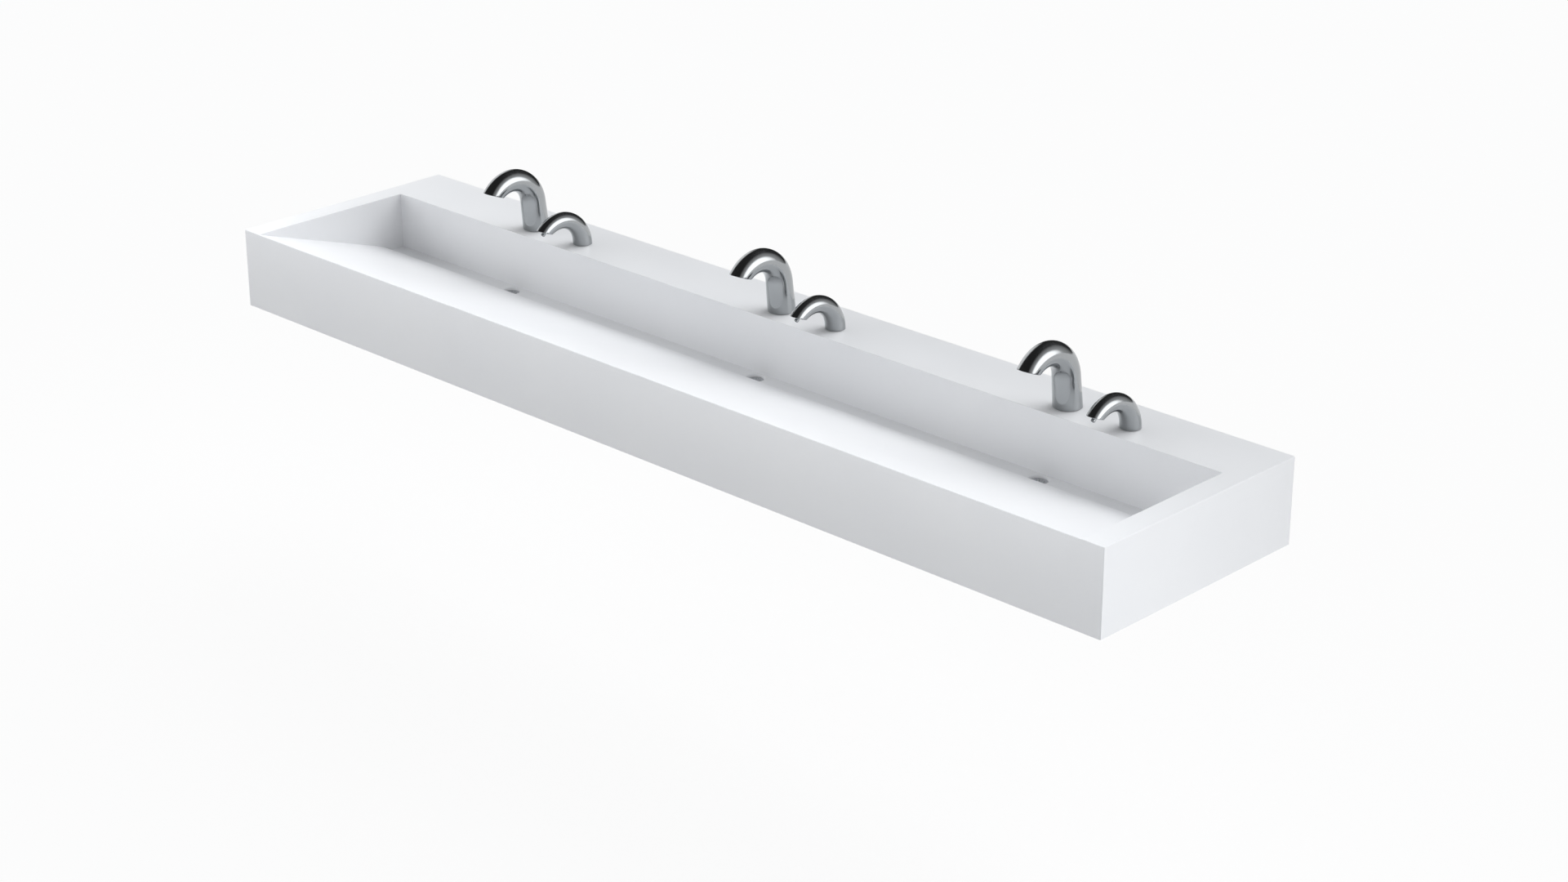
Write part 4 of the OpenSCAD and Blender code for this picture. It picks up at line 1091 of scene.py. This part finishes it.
def bottle_outside(r, top):
    """Rows of a bottle's base, ribbed side and shoulder."""
    arc = quarter(BOTTLE_STEPS)
    middle_r = r - BOTTLE_ROUND
    rows = [(r * r_share, BASE_RISE * z_share) for r_share, z_share in BASE_SHARES] + [(middle_r, 0)]
    rows += [(middle_r + BOTTLE_ROUND * math.sin(a), BOTTLE_ROUND * (1 - math.cos(a))) for a in arc[1:]]
    for place_share in RIB_PLACE_SHARES:
        z = BOTTLE_ROUND + (top - 2 * BOTTLE_ROUND) * place_share
        rows += [(r - RIB_DEPTH * in_share, z + RIB_HALF * z_share) for in_share, z_share in RIB_FORM_SHARES]
    return rows + [
        (middle_r + BOTTLE_ROUND * math.cos(a), top - BOTTLE_ROUND * (1 - math.sin(a)))
        for a in arc
    ]


def bottle_neck(top, bayonet_low, neck_top):
    """Rows of a bottle's neck, up its outside and into its mouth."""
    bayonet_high = bayonet_low + BAYONET_BAND
    inner_r = NECK_R - NECK_WALL
    return [
        (NECK_R + NECK_FILLET, top),
        (NECK_R, top + NECK_FILLET / 2),
        (NECK_R, bayonet_low),
        bayonet_row(bayonet_low + BAYONET_STEP),
        bayonet_row(bayonet_high - BAYONET_STEP),
        (NECK_R, bayonet_high),
        (NECK_R, neck_top - EASE),
        (NECK_R - EASE, neck_top),
        (inner_r + EASE, neck_top),
        (inner_r, neck_top - EASE),
    ]


def bottle_inside(r, top):
    """Rows of a bottle's inside from its neck down to its base."""
    arc = quarter(BOTTLE_STEPS)
    middle_r, round_r = r - BOTTLE_ROUND, BOTTLE_ROUND - BOTTLE_WALL
    rows = [(NECK_R - NECK_WALL, top - BOTTLE_WALL)]
    rows += [(middle_r + round_r * math.sin(a), top - BOTTLE_ROUND + round_r * math.cos(a)) for a in arc]
    rows += [(middle_r + round_r * math.cos(a), BOTTLE_ROUND - round_r * math.sin(a)) for a in arc]
    rows += [(r * r_share, BOTTLE_WALL + BASE_RISE * z_share) for r_share, z_share in INNER_BASE_SHARES]
    return rows


def make_bottles():
    """Blown soap bottles with grip ribs, a hollow inside and bayonet lugs on the neck."""
    for station in STATIONS:
        body = "soap_bottle_%d" % station
        low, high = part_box(body)
        r = (high.x - low.x) / 2
        pump_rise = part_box("soap_pump_%d" % station)[0].z - low.z
        top = pump_rise - NECK_AIR
        rows = bottle_outside(r, top) + bottle_neck(top, pump_rise + BAYONET_RISE, high.z - low.z)
        rows += bottle_inside(r, top)
        spot = at((low.x + high.x) / 2, (low.y + high.y) / 2, low.z)
        part = moved(round_part(rows), spot)
        piece = mesh_piece("soap_bottle_shell_%d" % station, part, "bottle_plastic", body)
        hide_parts(body)


def shown_to_eye(tree):
    """Number that is 1 for camera, glossy and transmission rays."""
    path = tree.nodes.new("ShaderNodeLightPath")
    first = tree.nodes.new("ShaderNodeMath")
    first.operation = "MAXIMUM"
    second = tree.nodes.new("ShaderNodeMath")
    second.operation = "MAXIMUM"
    tree.links.new(path.outputs["Is Camera Ray"], first.inputs[0])
    tree.links.new(path.outputs["Is Glossy Ray"], first.inputs[1])
    tree.links.new(first.outputs[0], second.inputs[0])
    tree.links.new(path.outputs["Is Transmission Ray"], second.inputs[1])
    return second.outputs[0]


def make_floor():
    """Plain pale floor below the hung trough: nearly white, with its shadow, and clear from below."""
    half = FLOOR_SIZE / 2
    z = cad_low.z - FLOOR_DROP
    mesh = bpy.data.meshes.new("floor")
    corners = [(-half, -half, z), (half, -half, z), (half, half, z), (-half, half, z)]
    mesh.from_pydata(corners, [], [(0, 1, 2, 3)])
    floor = bpy.data.objects.new("floor", mesh)
    bpy.context.scene.collection.objects.link(floor)
    material = bpy.data.materials.new("floor")
    material.use_nodes = True
    tree = material.node_tree
    tree.nodes.clear()
    matt = tree.nodes.new("ShaderNodeBsdfDiffuse")
    matt.inputs["Color"].default_value = (FLOOR_GREY, FLOOR_GREY, FLOOR_GREY, 1)
    glow = tree.nodes.new("ShaderNodeEmission")
    glow.inputs["Color"].default_value = (1, 1, 1, 1)
    share = tree.nodes.new("ShaderNodeMath")
    share.operation = "MULTIPLY"
    share.inputs[1].default_value = FLOOR_SHOWN_SHARE
    mix = tree.nodes.new("ShaderNodeMixShader")
    clear = tree.nodes.new("ShaderNodeBsdfTransparent")
    side = tree.nodes.new("ShaderNodeNewGeometry")
    both = tree.nodes.new("ShaderNodeMixShader")
    output = tree.nodes.new("ShaderNodeOutputMaterial")
    tree.links.new(shown_to_eye(tree), share.inputs[0])
    tree.links.new(share.outputs[0], mix.inputs["Fac"])
    tree.links.new(matt.outputs[0], mix.inputs[1])
    tree.links.new(glow.outputs[0], mix.inputs[2])
    tree.links.new(side.outputs["Backfacing"], both.inputs["Fac"])
    tree.links.new(mix.outputs[0], both.inputs[1])
    tree.links.new(clear.outputs[0], both.inputs[2])
    tree.links.new(both.outputs[0], output.inputs["Surface"])
    mesh.materials.append(material)


def world_direction(tree):
    """Direction that a ray of the world comes from."""
    place = tree.nodes.new("ShaderNodeTexCoord")
    return place.outputs["Generated"]


def facing(tree, direction, azimuth, elevation):
    """Cosine of the angle between a ray's direction and a fixed one."""
    flat = math.cos(math.radians(elevation))
    dot = tree.nodes.new("ShaderNodeVectorMath")
    dot.operation = "DOT_PRODUCT"
    dot.inputs[1].default_value = (
        flat * math.cos(math.radians(azimuth)),
        flat * math.sin(math.radians(azimuth)),
        math.sin(math.radians(elevation)),
    )
    tree.links.new(direction, dot.inputs[0])
    return dot.outputs["Value"]


def lobe_strength(tree, direction, azimuth, elevation, power, strength):
    """Soft light from round an axis."""
    value = facing(tree, direction, azimuth, elevation)
    for operation, number in (("MAXIMUM", 0), ("POWER", power), ("MULTIPLY", strength)):
        node = tree.nodes.new("ShaderNodeMath")
        node.operation = operation
        node.inputs[1].default_value = number
        tree.links.new(value, node.inputs[0])
        value = node.outputs[0]
    return value


def panel_strength(tree, direction, azimuth, elevation, full, faded, strength):
    """Round bright panel with a soft edge, as reflections show it."""
    inner, outer = math.cos(math.radians(full)), math.cos(math.radians(faded))
    value = facing(tree, direction, azimuth, elevation)
    return range_node(tree, value, 0, strength, outer, inner).outputs["Result"]


def total_of(tree, values):
    """Sum of several numbers."""
    total = values[0]
    for value in values[1:]:
        add = tree.nodes.new("ShaderNodeMath")
        tree.links.new(total, add.inputs[0])
        tree.links.new(value, add.inputs[1])
        total = add.outputs[0]
    return total


def make_lamps():
    """Soft area lamps in front and beyond both ends."""
    for name, (spot, target, width, depth, watts) in LAMPS.items():
        data = bpy.data.lights.new(name, "AREA")
        data.shape = "RECTANGLE"
        data.size = width
        data.size_y = depth
        data.energy = watts
        data.color = LIGHT_TINT[:3]
        lamp = bpy.data.objects.new(name, data)
        lamp.location = spot
        lamp.rotation_euler = (Vector(target) - Vector(spot)).to_track_quat("-Z", "Y").to_euler()
        lamp.visible_glossy = False
        bpy.context.scene.collection.objects.link(lamp)


def make_world():
    """White background, a dark studio with soft panels in reflections, and soft light from round."""
    world = bpy.data.worlds.new("studio")
    bpy.context.scene.world = world
    world.use_nodes = True
    tree = world.node_tree
    tree.nodes.clear()
    direction = world_direction(tree)
    light = tree.nodes.new("ShaderNodeBackground")
    light.inputs["Color"].default_value = LIGHT_TINT
    lobes = [lobe_strength(tree, direction, *lobe) for lobe in LIGHT_LOBES]
    tree.links.new(total_of(tree, lobes), light.inputs["Strength"])
    mirrored = tree.nodes.new("ShaderNodeBackground")
    mirrored.inputs["Color"].default_value = (1, 1, 1, 1)
    panels = [panel_strength(tree, direction, *panel) for panel in PANELS]
    dark = tree.nodes.new("ShaderNodeValue")
    dark.outputs[0].default_value = STUDIO_GREY
    shine = total_of(tree, [dark.outputs[0]] + panels)
    tree.links.new(shine, mirrored.inputs["Strength"])
    seen = tree.nodes.new("ShaderNodeBackground")
    seen.inputs["Color"].default_value = (1, 1, 1, 1)
    path = tree.nodes.new("ShaderNodeLightPath")
    first = tree.nodes.new("ShaderNodeMixShader")
    tree.links.new(path.outputs["Is Glossy Ray"], first.inputs["Fac"])
    tree.links.new(light.outputs[0], first.inputs[1])
    tree.links.new(mirrored.outputs[0], first.inputs[2])
    direct = tree.nodes.new("ShaderNodeMath")
    direct.operation = "MAXIMUM"
    tree.links.new(path.outputs["Is Camera Ray"], direct.inputs[0])
    tree.links.new(path.outputs["Is Transmission Ray"], direct.inputs[1])
    second = tree.nodes.new("ShaderNodeMixShader")
    tree.links.new(direct.outputs[0], second.inputs["Fac"])
    tree.links.new(first.outputs[0], second.inputs[1])
    tree.links.new(seen.outputs[0], second.inputs[2])
    output = tree.nodes.new("ShaderNodeOutputWorld")
    tree.links.new(second.outputs[0], output.inputs["Surface"])


make_camera()
dress_cad_nodes()
make_spouts()
make_outlets()
make_soap_nozzles()
make_shanks()
make_nuts()
make_screws()
make_valves()
make_coils()
make_knobs()
make_control_boxes()
make_pumps()
make_bottles()
make_floor()
make_lamps()
make_world()
bpy.context.scene.view_settings.view_transform = "Standard"
